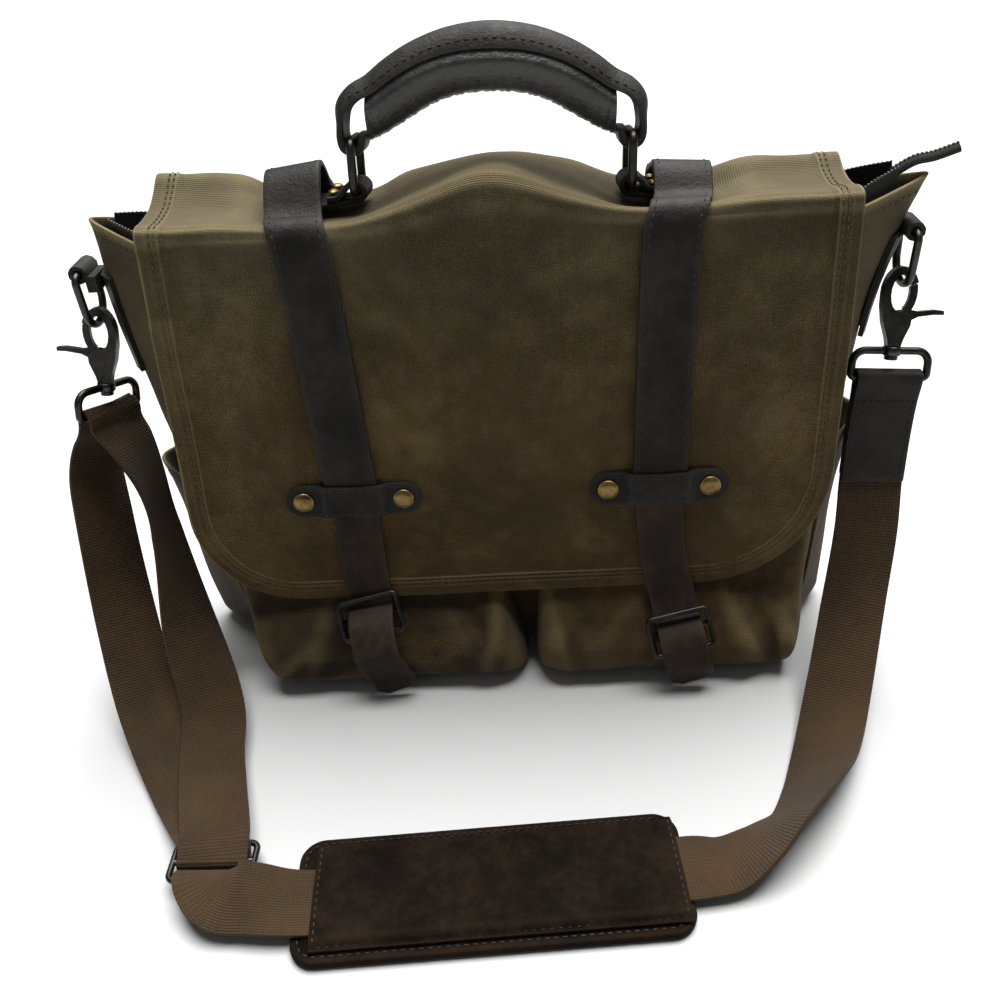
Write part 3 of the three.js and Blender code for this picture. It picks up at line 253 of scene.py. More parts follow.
def laid_grid(points, wrap_across=False, wrap_along=False, flip=False):
    """A bmesh grid whose corners are moved onto rows of points in millimetres, with a map in metres."""
    rows, columns = points.shape[:2]
    cells_across = columns if wrap_across else columns - 1
    cells_along = rows if wrap_along else rows - 1
    spread_across = running_length(points[rows // 2])
    spread_along = running_length(points[:, columns // 2])
    spread_across = np.append(spread_across, 2 * spread_across[-1] - spread_across[-2]) * MM
    spread_along = np.append(spread_along, 2 * spread_along[-1] - spread_along[-2]) * MM
    bm = bmesh.new()
    bmesh.ops.create_grid(bm, x_segments=cells_across, y_segments=cells_along, size=0.5)
    cloth_map = bm.loops.layers.uv.new("cloth")
    spots = {}
    for vert in bm.verts:
        spots[vert] = (round((vert.co.x + 0.5) * cells_across), round((vert.co.y + 0.5) * cells_along))
    for face in bm.faces:
        face.smooth = True
        for loop in face.loops:
            c, r = spots[loop.vert]
            loop[cloth_map].uv = (spread_across[c], spread_along[r])
    for vert, (c, r) in spots.items():
        vert.co = Vector(points[r % rows, c % columns]) * MM
    if wrap_across or wrap_along:
        bmesh.ops.remove_doubles(bm, verts=bm.verts, dist=1e-7)
    if flip:
        bmesh.ops.reverse_faces(bm, faces=bm.faces)
    return bm


def linked(name, data):
    """A new object in the scene, for a mesh, a light or a camera."""
    made = bpy.data.objects.new(name, data)
    bpy.context.scene.collection.objects.link(made)
    return made


def make_object(name, bm):
    mesh = bpy.data.meshes.new(name)
    bm.to_mesh(mesh)
    bm.free()
    return linked(name, mesh)


def dressed(name, bm, finish):
    """A piece that stands for the solid of the same name."""
    return keep(make_object(name, bm), finish, (name,))


def soft_edges(piece, width, segments, angle):
    soft = piece.modifiers.new("edge", "BEVEL")
    soft.width = width * MM
    soft.segments = segments
    soft.limit_method = "ANGLE"
    soft.angle_limit = math.radians(angle)


def sheet(
    name, columns, rows, place, wall, finish, relief=None, flip=False, offset=-1.0, edge=0.6, even=True,
):
    """Cloth or leather: a grid over a surface with relief along its normals, then a wall and soft edges."""
    points = np.array([[place(column, row) for column in columns] for row in rows], float)
    if relief:
        outward = grid_normals(points) * (-1 if flip else 1)
        height = []
        for r, row in enumerate(rows):
            height.append([relief(points[r, c], column, row) for c, column in enumerate(columns)])
        points = points + outward * np.array(height)[..., None]
    piece = make_object(name, laid_grid(points, flip=flip))
    thick = piece.modifiers.new("wall", "SOLIDIFY")
    thick.thickness = wall * MM
    thick.offset = offset
    thick.use_even_offset = even
    soft_edges(piece, edge, 2, 50)
    return keep(piece, finish, (name,))


def band(name, stations, width, wall, finish, across=10, shape=None, edge=0.7):
    """Flat strap along stations. shape(share, order) may narrow it or lift it as (width share, lift)."""
    last = len(stations) - 1

    def place(share, k):
        spot = stations[k]
        narrow, lift = shape(share, k / last) if shape else (1.0, 0.0)
        return spot.at + spot.across * (share * width / 2 * narrow) + spot.up * lift

    columns = np.linspace(-1, 1, across + 1)
    return sheet(name, columns, range(last + 1), place, wall, finish, offset=0.0, edge=edge, even=False)


def loft(rings, closed=False):
    """A bmesh skin over rings of points in millimetres, with its ends filled unless it is closed."""
    bm = laid_grid(np.array(rings, float), wrap_across=True, wrap_along=closed)
    if not closed:
        rims = [edge for edge in bm.edges if edge.is_boundary]
        bmesh.ops.holes_fill(bm, edges=rims, sides=0)
    bmesh.ops.recalc_face_normals(bm, faces=bm.faces)
    soften(bm)
    return bm


def soften(bm, angle=50):
    """Smooth faces with sharp edges kept where faces meet at more than an angle in degrees."""
    for face in bm.faces:
        face.smooth = True
    for edge in bm.edges:
        if len(edge.link_faces) == 2:
            edge.smooth = edge.calc_face_angle(0) < math.radians(angle)


def ring_round(at, across, up, half_width, half_height, sides):
    """Points of an oval about a place, from its two directions."""
    angles = np.linspace(0, 2 * math.pi, sides, endpoint=False)
    return [at + across * half_width * math.cos(a) + up * half_height * math.sin(a) for a in angles]


def wire_rings(outline, radius):
    """Rings of a round wire bent along a closed outline of x and z places."""
    count = len(outline)
    rings = []
    for k, (x, z) in enumerate(outline):
        before, after = outline[k - 1], outline[(k + 1) % count]
        along = unit(np.array((after[0] - before[0], 0.0, after[1] - before[1])))
        across = np.array((-along[2], 0.0, along[0]))
        rings.append(ring_round(np.array((x, 0, z)), across, np.array((0, 1, 0)), radius, radius, 14))
    return rings


def rounded_outline(half_width, top, bottom, radius, per_corner=8, low_radius=None):
    """Closed outline of x and z places with round corners, the low ones with a radius of their own."""
    low = radius if low_radius is None else low_radius
    corners = (
        (1, top, -radius, 0),
        (-1, top, -radius, 90),
        (-1, bottom, low, 180),
        (1, bottom, low, 270),
    )
    outline = []
    for side, base, lift, start in corners:
        size = abs(lift)
        for angle in np.radians(np.linspace(start, start + 90, per_corner + 1)):
            x = side * (half_width - size) + size * math.cos(angle)
            outline.append((x, base + lift + size * math.sin(angle)))
    return outline


def moved(place):
    """Matrix that moves by a place in millimetres."""
    return Matrix.Translation(Vector(place) * MM)


def turned(degrees, axis):
    return Matrix.Rotation(math.radians(degrees), 4, axis)


def placed(bm, matrix):
    """Turns and moves a bmesh made in metres about its own origin."""
    bmesh.ops.transform(bm, matrix=matrix, verts=bm.verts)
    if matrix.to_3x3().determinant() < 0:
        bmesh.ops.reverse_faces(bm, faces=bm.faces)
    return bm


def joined(*parts):
    """Several bmeshes as one."""
    whole = bmesh.new()
    for part in parts:
        mesh = bpy.data.meshes.new("part")
        part.to_mesh(mesh)
        part.free()
        whole.from_mesh(mesh)
        bpy.data.meshes.remove(mesh)
    return whole


def spun(profile, segments=24):
    """Solid of revolution about Z from rows of radius and height in millimetres."""
    bm = bmesh.new()
    verts = [bm.verts.new((radius * MM, 0, height * MM)) for radius, height in profile]
    edges = [bm.edges.new(pair) for pair in zip(verts, verts[1:])]
    bmesh.ops.spin(
        bm, geom=verts + edges, cent=(0, 0, 0), axis=(0, 0, 1), dvec=(0, 0, 0),
        angle=2 * math.pi, steps=segments, use_merge=True,
    )
    bmesh.ops.remove_doubles(bm, verts=bm.verts, dist=1e-6)
    bmesh.ops.recalc_face_normals(bm, faces=bm.faces)
    soften(bm)
    return bm


def standing(at, out):
    """Matrix that stands a piece's Z direction along out, at a place in millimetres."""
    turn = Vector((0, 0, 1)).rotation_difference(Vector(out))
    return moved(at) @ turn.to_matrix().to_4x4()


def polished(name, width, finish, body=BAG, sharp=35):
    """A solid's own shape with its edges rounded over."""
    bm = bmesh.new()
    bm.from_mesh(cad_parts[name].data)
    bmesh.ops.remove_doubles(bm, verts=bm.verts, dist=1e-6)
    bmesh.ops.dissolve_limit(bm, angle_limit=math.radians(3), verts=bm.verts, edges=bm.edges)
    soften(bm, sharp)
    piece = make_object(name, bm)
    soft_edges(piece, width, 3, sharp)
    return keep(piece, finish, (name,), body)


# Stitches

STITCH_LENGTH = 3.0
STITCH_WIDTH = 0.8
STITCH_PITCH = 4.3


def stitched(name, runs, finish, length=STITCH_LENGTH, width=STITCH_WIDTH, pitch=STITCH_PITCH):
    """Threads along runs of places and outward directions, all in one mesh."""
    bead = bmesh.new()
    bmesh.ops.create_icosphere(bead, subdivisions=1, radius=0.5)
    shape = np.array([vert.co for vert in bead.verts]) * (length, width, width * 0.8)
    faces = np.array([[vert.index for vert in face.verts] for face in bead.faces])
    bead.free()
    all_points, all_faces = [], []
    for run in runs:
        places = np.array([place for place, out in run], float)
        outs = np.array([out for place, out in run], float)
        reach = running_length(places)
        for s in np.arange(pitch / 2, reach[-1], pitch):
            k = min(int(np.searchsorted(reach, s)), len(reach) - 1)
            t = (s - reach[k - 1]) / max(reach[k] - reach[k - 1], 1e-9)
            along = unit(places[k] - places[k - 1])
            out = outs[k - 1] * (1 - t) + outs[k] * t
            out = unit(out - along * out.dot(along))
            turn = np.array((along, np.cross(out, along), out))
            all_faces.append(faces + len(all_points) * len(shape))
            all_points.append(shape @ turn + places[k - 1] * (1 - t) + places[k] * t)
    mesh = bpy.data.meshes.new(name)
    mesh.from_pydata((np.concatenate(all_points) * MM).tolist(), [], np.concatenate(all_faces).tolist())
    mesh.shade_smooth()
    return keep(linked(name, mesh), finish)


def band_run(stations, offset, lift, first=0, last=None):
    """A stitch run along a band, offset across it and lifted off its middle."""
    return [(s.at + s.across * offset + s.up * lift, s.up * np.sign(lift)) for s in stations[first:last]]


# Finishes

# Spacing of the canvas threads in millimetres
CANVAS_THREAD = 1.2
# Tint of the canvas from the floor up, by height in metres: warmer low down, and darker and cooler at the
# top, where the darkening is painted shade below the flap's fold
CANVAS_TINT_AND_PAINTED_SHADE = ((0.06, (1.0, 0.82, 0.56)), (0.15, (1.0, 0.86, 0.62)), (0.28, (0.72, 0.78, 0.76)))


def node(tree, kind, inputs=None, **settings):
    """A shader node, each input a value or another node's socket."""
    made = tree.nodes.new("ShaderNode" + kind)
    for key, value in settings.items():
        setattr(made, key, value)
    for key, value in (inputs or {}).items():
        if isinstance(value, bpy.types.NodeSocket):
            tree.links.new(value, made.inputs[key])
        else:
            made.inputs[key].default_value = value
    return made


def start_finish(name, **sockets):
    """A new material with plain values on its shader's sockets."""
    material = bpy.data.materials.new(name)
    material.use_nodes = True
    tree = material.node_tree
    shader = tree.nodes["Principled BSDF"]
    for key, value in sockets.items():
        shader.inputs[key.replace("_", " ")].default_value = value
    return material, tree, shader


def ramp(tree, factor, *stops):
    """Colour ramp, each stop a position and a colour or a grey."""
    made = node(tree, "ValToRGB", {"Fac": factor})
    elements = made.color_ramp.elements
    while len(elements) < len(stops):
        elements.new(0.5)
    for element, (position, colour) in zip(elements, stops):
        element.position = position
        element.color = (*colour, 1) if hasattr(colour, "__len__") else (colour, colour, colour, 1)
    return made.outputs["Color"]


def mix(tree, factor, first, second, blend="MIX"):
    """Blend of two colours, each a value or a socket."""
    made = node(tree, "Mix", data_type="RGBA", blend_type=blend)
    for key, value in ((0, factor), (6, first), (7, second)):
        if isinstance(value, bpy.types.NodeSocket):
            tree.links.new(value, made.inputs[key])
        else:
            made.inputs[key].default_value = (*value, 1) if hasattr(value, "__len__") else value
    return made.outputs[2]


def sum_of(tree, first, second, second_share=1.0):
    """The first value plus a share of the second."""
    values = {0: second, 1: second_share, 2: first}
    return node(tree, "Math", values, operation="MULTIPLY_ADD").outputs[0]


def texture_noise(tree, vector, scale, detail=3.0, rough=0.5):
    values = {"Vector": vector, "Scale": scale, "Detail": detail, "Roughness": rough}
    return node(tree, "TexNoise", values).outputs["Fac"]


def bands_of(tree, vector, direction, period):
    """Thread ridges across a map in metres, a period in millimetres apart."""
    scale = 2 * math.pi / (20 * period * MM)
    values = {"Vector": vector, "Scale": scale, "Distortion": 0.6, "Detail": 1.0, "Detail Scale": 0.4}
    return node(tree, "TexWave", values, bands_direction=direction).outputs["Fac"]


def bumped(tree, shader, height, strength, distance):
    """Fine relief of a finish, its depth in millimetres."""
    values = {"Height": height, "Strength": strength, "Distance": distance * MM}
    tree.links.new(node(tree, "Bump", values).outputs["Normal"], shader.inputs["Normal"])


def coloured(tree, shader, colour, roughness):
    tree.links.new(colour, shader.inputs["Base Color"])
    tree.links.new(roughness, shader.inputs["Roughness"])


def canvas_finish(name, dark, middle, light):
    """Waxed canvas: patchy colour, woven threads, painted top light where it faces up, and pale edges that
    are partly wear and partly painted highlight.
    """
    material, tree, shader = start_finish(
        name, Sheen_Weight=0.05, Sheen_Roughness=0.5, Specular_IOR_Level=0.2,
    )
    coords = node(tree, "TexCoord")
    object_place, cloth = coords.outputs["Object"], coords.outputs["UV"]
    patches = texture_noise(tree, object_place, 11, 5, 0.6)
    mottle = texture_noise(tree, object_place, 70, 6, 0.7)
    grain = texture_noise(tree, object_place, 900, 2, 0.6)
    blotch = sum_of(tree, patches, sum_of(tree, -0.5, mottle), 0.55)
    base = ramp(tree, blotch, (0.3, dark), (0.5, middle), (0.74, light))
    warp = bands_of(tree, cloth, "X", CANVAS_THREAD)
    weft = bands_of(tree, cloth, "Y", CANVAS_THREAD)
    weave = node(tree, "Math", {0: warp, 1: weft}, operation="ADD").outputs[0]
    specks = sum_of(tree, sum_of(tree, 0.0, grain, 0.7), weave, 0.22)
    base = mix(tree, 0.85, base, ramp(tree, specks, (0.25, 0.42), (0.75, 1.5)), "MULTIPLY")
    # Painted shade: the tint by height darkens the canvas near the top, below the flap's fold
    height = node(tree, "SeparateXYZ", {"Vector": object_place}).outputs["Z"]
    base = mix(tree, 1.0, base, ramp(tree, height, *CANVAS_TINT_AND_PAINTED_SHADE), "MULTIPLY")
    surface = node(tree, "NewGeometry")
    # Painted top light: faces that point up are blended towards the light colour, standing in for light
    # from above
    upward = node(tree, "SeparateXYZ", {"Vector": surface.outputs["Normal"]}).outputs["Z"]
    base = mix(tree, ramp(tree, upward, (0.55, 0.0), (0.9, 0.75)), base, light)
    # Paler at sharp ridges, hems and seams: partly edge wear, partly painted highlight where the ridges
    # catch the light
    wear = ramp(tree, surface.outputs["Pointiness"], (0.5, 0.0), (0.53, 0.75))
    pale = tuple(min(1.0, channel * 1.9) for channel in light)
    base = mix(tree, wear, base, pale)
    coloured(tree, shader, base, ramp(tree, mottle, (0.3, 0.68), (0.7, 0.9)))
    bumped(tree, shader, sum_of(tree, sum_of(tree, weave, grain, 1.2), mottle, 1.5), 0.55, 0.5)
    return material


def leather_finish(name, dark, middle, scuff, rough, specular=0.14):
    """Oiled leather: patchy colour, pores and wrinkles, with paler scuffs and edges."""
    material, tree, shader = start_finish(name, Specular_IOR_Level=specular)
    place = node(tree, "TexCoord").outputs["Object"]
    patches = texture_noise(tree, place, 26, 6, 0.65)
    fine = texture_noise(tree, place, 160, 5, 0.7)
    pores = node(tree, "TexVoronoi", {"Vector": place, "Scale": 620.0, "Randomness": 1.0})
    wrinkle = node(tree, "TexVoronoi", {"Vector": place, "Scale": 150.0}, feature="DISTANCE_TO_EDGE")
    base = ramp(tree, patches, (0.32, dark), (0.68, middle))
    rubbing = sum_of(tree, sum_of(tree, -0.45, patches, 0.9), fine, 0.9)
    base = mix(tree, ramp(tree, rubbing, (0.36, 0.0), (0.72, 0.5)), base, scuff)
    wear = ramp(tree, node(tree, "NewGeometry").outputs["Pointiness"], (0.5, 0.0), (0.56, 0.5))
    base = mix(tree, wear, base, scuff)
    coloured(tree, shader, base, ramp(tree, fine, (0.25, rough - 0.1), (0.75, rough + 0.14)))
    relief = sum_of(tree, pores.outputs["Distance"], wrinkle.outputs["Distance"], 0.8)
    bumped(tree, shader, sum_of(tree, relief, fine, 0.6), 0.4, 0.35)
    return material


def webbing_finish(name, dark, light, rib=1.7):
    """Ribbed cotton, its ribs a distance in millimetres apart."""
    material, tree, shader = start_finish(
        name, Sheen_Weight=0.06, Sheen_Roughness=0.5, Specular_IOR_Level=0.15,
    )
    coords = node(tree, "TexCoord")
    place, cloth = coords.outputs["Object"], coords.outputs["UV"]
    ribs = bands_of(tree, cloth, "Y", rib)
    ends = bands_of(tree, cloth, "X", rib * 0.8)
    patches = texture_noise(tree, place, 30, 5, 0.6)
    fuzz = texture_noise(tree, place, 1300, 2, 0.6)
    weave = node(tree, "Math", {0: ribs, 1: ends}, operation="MULTIPLY").outputs[0]
    tone = sum_of(tree, sum_of(tree, -0.25, patches, 0.8), sum_of(tree, weave, fuzz, 0.8), 0.45)
    base = ramp(tree, tone, (0.12, dark), (0.7, light))
    coloured(tree, shader, base, ramp(tree, patches, (0.3, 0.72), (0.7, 0.9)))
    bumped(tree, shader, sum_of(tree, weave, fuzz, 0.5), 0.8, 0.7)
    return material


def metal_finish(name, dark, light, rough):
    """Dull metal, brighter at its worn edges."""
    material, tree, shader = start_finish(name, Metallic=1.0)
    place = node(tree, "TexCoord").outputs["Object"]
    patches = texture_noise(tree, place, 120, 5, 0.65)
    fine = texture_noise(tree, place, 900, 3, 0.6)
    base = ramp(tree, patches, (0.35, dark), (0.7, light))
    wear = ramp(tree, node(tree, "NewGeometry").outputs["Pointiness"], (0.52, 0.0), (0.6, 0.6))
    base = mix(tree, wear, base, tuple(min(1.0, channel * 2.2) for channel in light))
    coloured(tree, shader, base, ramp(tree, patches, (0.3, rough - 0.08), (0.75, rough + 0.15)))
    bumped(tree, shader, sum_of(tree, fine, patches, 1.0), 0.15, 0.2)
    return material


# Colours of each material, from dark to light
OLIVE = (0.031, 0.0235, 0.0085), (0.053, 0.039, 0.0142), (0.1, 0.078, 0.038)
DEEP_OLIVE = (0.009, 0.0068, 0.0026), (0.023, 0.017, 0.0064), (0.068, 0.051, 0.021)
CHARCOAL = (0.005, 0.0048, 0.0038), (0.012, 0.0112, 0.0088), (0.04, 0.037, 0.031)
COOL_CHARCOAL = (0.006, 0.006, 0.0055), (0.013, 0.0128, 0.012), (0.045, 0.044, 0.042)
UMBER = (0.009, 0.0064, 0.0042), (0.021, 0.0138, 0.0088), (0.06, 0.04, 0.025)
# Darker copy of the umber for the pad: partly darker leather, partly painted shadow of the bag falling over
# the pad
UMBER_PAINTED_SHADOW = (0.002, 0.0013, 0.0007), (0.0058, 0.0036, 0.002), (0.022, 0.0135, 0.0075)
GUNMETAL = (0.018, 0.018, 0.018), (0.045, 0.043, 0.04)
BRASS = (0.09, 0.06, 0.022), (0.33, 0.225, 0.085)
ZIP_BLACK = (0.006, 0.006, 0.006), (0.03, 0.029, 0.028)
TOBACCO = (0.015, 0.0095, 0.0038), (0.058, 0.0325, 0.0135)
SAND = (0.045, 0.035, 0.018), (0.11, 0.088, 0.052)
SMOKE = (0.015, 0.013, 0.01), (0.05, 0.044, 0.034)

# Material and slot of each finish
FINISHES = {
    "canvas": (canvas_finish("waxed_canvas", *OLIVE), "canvas"),
    "pocket": (canvas_finish("pocket_canvas", *DEEP_OLIVE), "pocket_canvas"),
    "dark_leather": (leather_finish("dark_leather", *CHARCOAL, 0.56), "dark_leather"),
    "roll_leather": (leather_finish("roll_leather", *COOL_CHARCOAL, 0.4, 0.55), "dark_leather"),
    "brown_leather": (leather_finish("brown_leather", *UMBER, 0.6), "brown_leather"),
    # The pad's leather is the brown leather darkened, partly as darker leather and partly as painted shadow
    # of the bag over the pad
    "pad_leather_painted_shadow": (leather_finish("pad_leather_painted_shadow", *UMBER_PAINTED_SHADOW, 0.66, 0.03), "brown_leather"),
    "gunmetal": (metal_finish("gunmetal", *GUNMETAL, 0.36), "black_metal"),
    "brass": (metal_finish("aged_brass", *BRASS, 0.42), "aged_brass"),
    "zip": (webbing_finish("zip_cloth", *ZIP_BLACK, 1.0), "zip_tape"),
    "webbing": (webbing_finish("cotton_webbing", *TOBACCO), "webbing"),
    "thread": (webbing_finish("canvas_thread", *SAND, 0.8), "webbing"),
    "dark_thread": (webbing_finish("leather_thread", *SMOKE, 0.8), "webbing"),
}


def keep(piece, finish, nodes=(), body=BAG):
    """Finish, body and replaced solids of a piece."""
    material, slot = FINISHES[finish]
    piece.data.materials.clear()
    piece.data.materials.append(material)
    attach(piece, body)
    if nodes:
        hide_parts(*nodes)
    return piece


# Stage, light and camera

FLOOR_GREY = 0.46
FLOOR_HALF_SIZE = 6.0
# Depth of the floor below the part, so that the two faces don't meet, in metres
FLOOR_DROP = 0.0004
SKY_STRENGTH = 0.13


def make_camera():
    pitch, yaw, roll = (math.radians(a) for a in (CAMERA_PITCH, CAMERA_YAW, CAMERA_ROLL))
    level = math.cos(pitch)
    forward = Vector((math.sin(yaw) * level, math.cos(yaw) * level, -math.sin(pitch)))
    right = Vector((math.cos(yaw), -math.sin(yaw), 0))
    up = right.cross(forward)
    across = right * math.cos(roll) + up * math.sin(roll)
    above = up * math.cos(roll) - right * math.sin(roll)
    data = bpy.data.cameras.new("camera")
    data.lens = CAMERA_LENS
    data.sensor_width = 36.0
    camera = linked("camera", data)
    turn = Matrix((across, above, -forward)).transposed().to_4x4()
    camera.matrix_world = Matrix.Translation(CAMERA_AT) @ turn
    bpy.context.scene.camera = camera


def area_light(name, at, target, size, power):
    data = bpy.data.lights.new(name, "AREA")
    data.size = size
    data.energy = power
    light = linked(name, data)
    light.location = at
    light.rotation_euler = (Vector(target) - Vector(at)).to_track_quat("-Z", "Y").to_euler()


def sun_light(name, travel, spread, strength):
    data = bpy.data.lights.new(name, "SUN")
    data.angle = math.radians(spread)
    data.energy = strength
    light = linked(name, data)
    light.rotation_euler = Vector(travel).to_track_quat("-Z", "Y").to_euler()


def make_stage():
    bm = bmesh.new()
    bmesh.ops.create_grid(bm, x_segments=1, y_segments=1, size=FLOOR_HALF_SIZE)
    bmesh.ops.translate(bm, vec=(0, 0, -FLOOR_DROP), verts=bm.verts)
    floor = make_object("floor", bm)
    material, tree, shader = start_finish("pale_floor", Roughness=0.9, Specular_IOR_Level=0.1)
    shader.inputs["Base Color"].default_value = (FLOOR_GREY, FLOOR_GREY, FLOOR_GREY, 1)
    floor.data.materials.append(material)
    world = bpy.data.worlds.new("studio")
    bpy.context.scene.world = world
    world.use_nodes = True
    sky = world.node_tree.nodes["Background"]
    sky.inputs["Color"].default_value = (1, 1, 1, 1)
    sky.inputs["Strength"].default_value = SKY_STRENGTH
    middle = (0, 0, 0.15)
    sun_light("skylight", travel=(-0.1, -0.3, -1), spread=50, strength=8.2)
    area_light("window", at=(0.35, 1.5, 1.7), target=middle, size=1.6, power=14)
    area_light("fill", at=(-1.2, -1.6, 1.1), target=middle, size=1.4, power=1)
    bpy.context.scene.view_settings.view_transform = "Standard"


make_camera()
make_stage()


# Side places that the shoulder strap hangs from


SidePiece = namedtuple("SidePiece", "name side bar aside forward turn")
SIDE_PIECES = (
    SidePiece("left", -1, (-225.0, -4.0, SIDE_TAB_AT), 6.0, 10.0, LEFT_TURN),
    SidePiece("right", 1, (221.5, -4.0, SIDE_TAB_AT), -4.0, 16.0, 0.0),
)


def hang_matrix(piece):
    """Frame of a clasp hung on the low point of its ring, in metres, mirrored on the left."""
    x, y, z = piece.bar
    hang = moved((x, y, z - D_RING_HEIGHT + 0.7))
    hang = hang @ turned(-piece.side * piece.aside, "Y") @ turned(-piece.forward, "X")
    return hang @ Matrix.Diagonal((piece.side, 1, 1, 1))


def loop_bar(piece):
    """Middle of a swivel loop's low bar, in millimetres."""
    low = Vector((0, 0, LOOP_BAR_AT - LOOP_HEIGHT)) * MM
    return np.array(hang_matrix(piece) @ low) / MM


# Shoulder strap


SLIDER = {"x": -157.5, "y": -203.0, "z": 9.0, "pitch": 11.0}


def loop_wrap(piece, heading, rise, angles):
    """Rows of a band's turn over the bar of a swivel loop."""
    bar = loop_bar(piece)
    turn = math.radians(heading)
    rows = []
    for angle in np.radians(angles):
        out = LOOP_WRAP * math.cos(angle)
        rows.append({
            "x": bar[0] + out * math.sin(turn),
            "y": bar[1] - out * math.cos(turn),
            "z": bar[2] + LOOP_WRAP * math.sin(angle),
            "heading": heading,
            "rise": rise,
        })
    return rows


def webbing_rows():
    """Route of the webbing from its sewn end at the slider to the right clasp."""
    wrap = loop_wrap(SIDE_PIECES[0], LEFT_TURN, LEFT_RISE, (0, 45, 90, 135, 180))
    sx, sy = SLIDER["x"], SLIDER["y"]
    up_to_loop = table(
        "x y z heading rise",
        (sx, sy + 3, 7.2, 0, 0),
        (sx, sy, 5.9, 0, 0),
        (sx, sy - 2.3, 6.8, 0, 0),
        (sx, sy - 3.15, 9, 0, 0),
        (sx, sy - 2.3, 11.3, 0, 0),
        (sx, sy, 12.3, 0, 0),
        (sx - 0.5, sy + 6, 14, 1, 0),
        (sx - 1, sy + 12, 15, 1, 0),
        (-166, -165, 14, 5, 0),
        (-175, -134, 11, 12, 0),
        (-181, -102, 17, 30, 0),
        (-198.5, -62, 52, 62, 0),
        (-207.5, -36, 102, 88, 0),
        (-212, -26.5, 132, 90, 0),
        (-219.5, -20, 154, 78, 0),
        (-226.6, -15.6, 167, LEFT_TURN, LEFT_RISE),
    )
    down_to_slider = table(
        "x y z heading rise",
        (-236.5, -10.6, 166, LEFT_TURN, LEFT_RISE),
        (-243, -12, 154, 61, 0),
        (-247, -18, 138, 61, 0),
        (-245.5, -30, 112, 56, 0),
        (-238.5, -57, 58, 45, 0),
        (-220.5, -99, 17, 33, 0),
        (-191, -146, 4, 16, 0),
        (-168.5, -178, 8.4, 4, 0),
        (-159.5, sy + 11, 12.1, 1, 0),
        (sx, sy + 5.4, 8, 0, 0),
        (sx, sy, 3.2, 0, 0),
        (sx, sy - 5.6, 8.2, -2, 0),
        (-156, sy - 11.6, 12.2, -4, 0),
    )
    round_the_front = table(
        "x y z heading rise",
        (-147, sy - 22, 12.6, 24, 6),
        (-132, -226.5, 11, 62, 6),
        (-117, -227.6, 8.8, 87, 2),
        (-100, -227, 6.85, 94, 0),
        (-13, -220.4, 6.75, 94.3, 0),
        (70, -214.1, 6.75, 94.3, 0),
        (92, -212.3, 6.6, 97, 0),
        (108, -209.5, 5.4, 104, -10),
        (126, -201, 11.2, 119, -32),
        (143, -188, 16, 135, -50),
        (158, -168, 13.6, 149, -40),
        (171, -144, 10, 158, -22),
        (187.5, -105, 13, 166, -6),
        (204.5, -61, 44, 172, 0),
        (213.4, -37.5, 84, 177, 0),
        (215.6, -25.5, 112, 179, 1.5),
        (216.8, -20.5, 140, 180, 3),
        (217.5, -18.9, 163, 180, 4),
    )
    return [*up_to_loop, *wrap, *down_to_slider, *round_the_front]


def make_webbing():
    stations = route(webbing_rows(), 7)
    return band("shoulder_webbing", stations, WEBBING_WIDTH, WEBBING, "webbing", 12), stations


def make_strap_end():
    right = SIDE_PIECES[1]
    columns = "x y z heading rise"
    front = table(
        columns,
        (215.5, -28.2, 112, 180, 1.5),
        (216.8, -23, 140, 180, 3),
        (217.5, -21.6, 162, 180, 4),
    )
    back = table(
        columns,
        (217.5, -16.2, 162, 180, 4),
        (216.8, -18, 140, 180, 3),
        (215.8, -22.6, 114, 180, 1.5),
    )
    stations = route([*front, *loop_wrap(right, 180, 4, (180, 135, 90, 45, 0)), *back], 8)
    end = band("strap_end_leather", stations, STRAP_END_WIDTH, STRAP_END_WALL, "dark_leather", 12)
    inset, lift = STRAP_END_WIDTH / 2 - 2.5, STRAP_END_WALL / 2 + 0.15
    face = [spot for spot in stations[:17] if spot.at[2] < loop_bar(right)[2] - 8]
    runs = [band_run(face, offset, lift) for offset in (-inset, inset)]
    for spot in (face[1], face[-1]):
        offsets = np.linspace(-inset, inset, 12)
        runs.append([(spot.at + spot.across * offset + spot.up * lift, spot.up) for offset in offsets])
    return end, stitched("strap_end_stitches", runs, "dark_thread")


def make_slider():
    outline = rounded_outline(SLIDER_HALF_WIDTH, SLIDER["pitch"], -SLIDER["pitch"], 4)
    bar = bmesh.new()
    bmesh.ops.create_cone(
        bar, cap_ends=True, segments=16, radius1=SLIDER_BAR * MM, radius2=SLIDER_BAR * MM,
        depth=2 * SLIDER_HALF_WIDTH * MM, matrix=turned(90, "Y"),
    )
    soften(bar)
    whole = joined(loft(wire_rings(outline, SLIDER_WIRE), closed=True), bar)
    flat = moved((SLIDER["x"], SLIDER["y"], SLIDER["z"])) @ turned(-90, "X")
    return dressed("strap_slider", placed(whole, flat), "gunmetal")


PAD_MATRIX = moved((-13, -218, 0)) @ turned(3.6, "Z")


def on_pad(x, y, z):
    """Scene place of a place on the pad, in millimetres."""
    return np.array(PAD_MATRIX @ (Vector((x, y, z)) * MM)) / MM


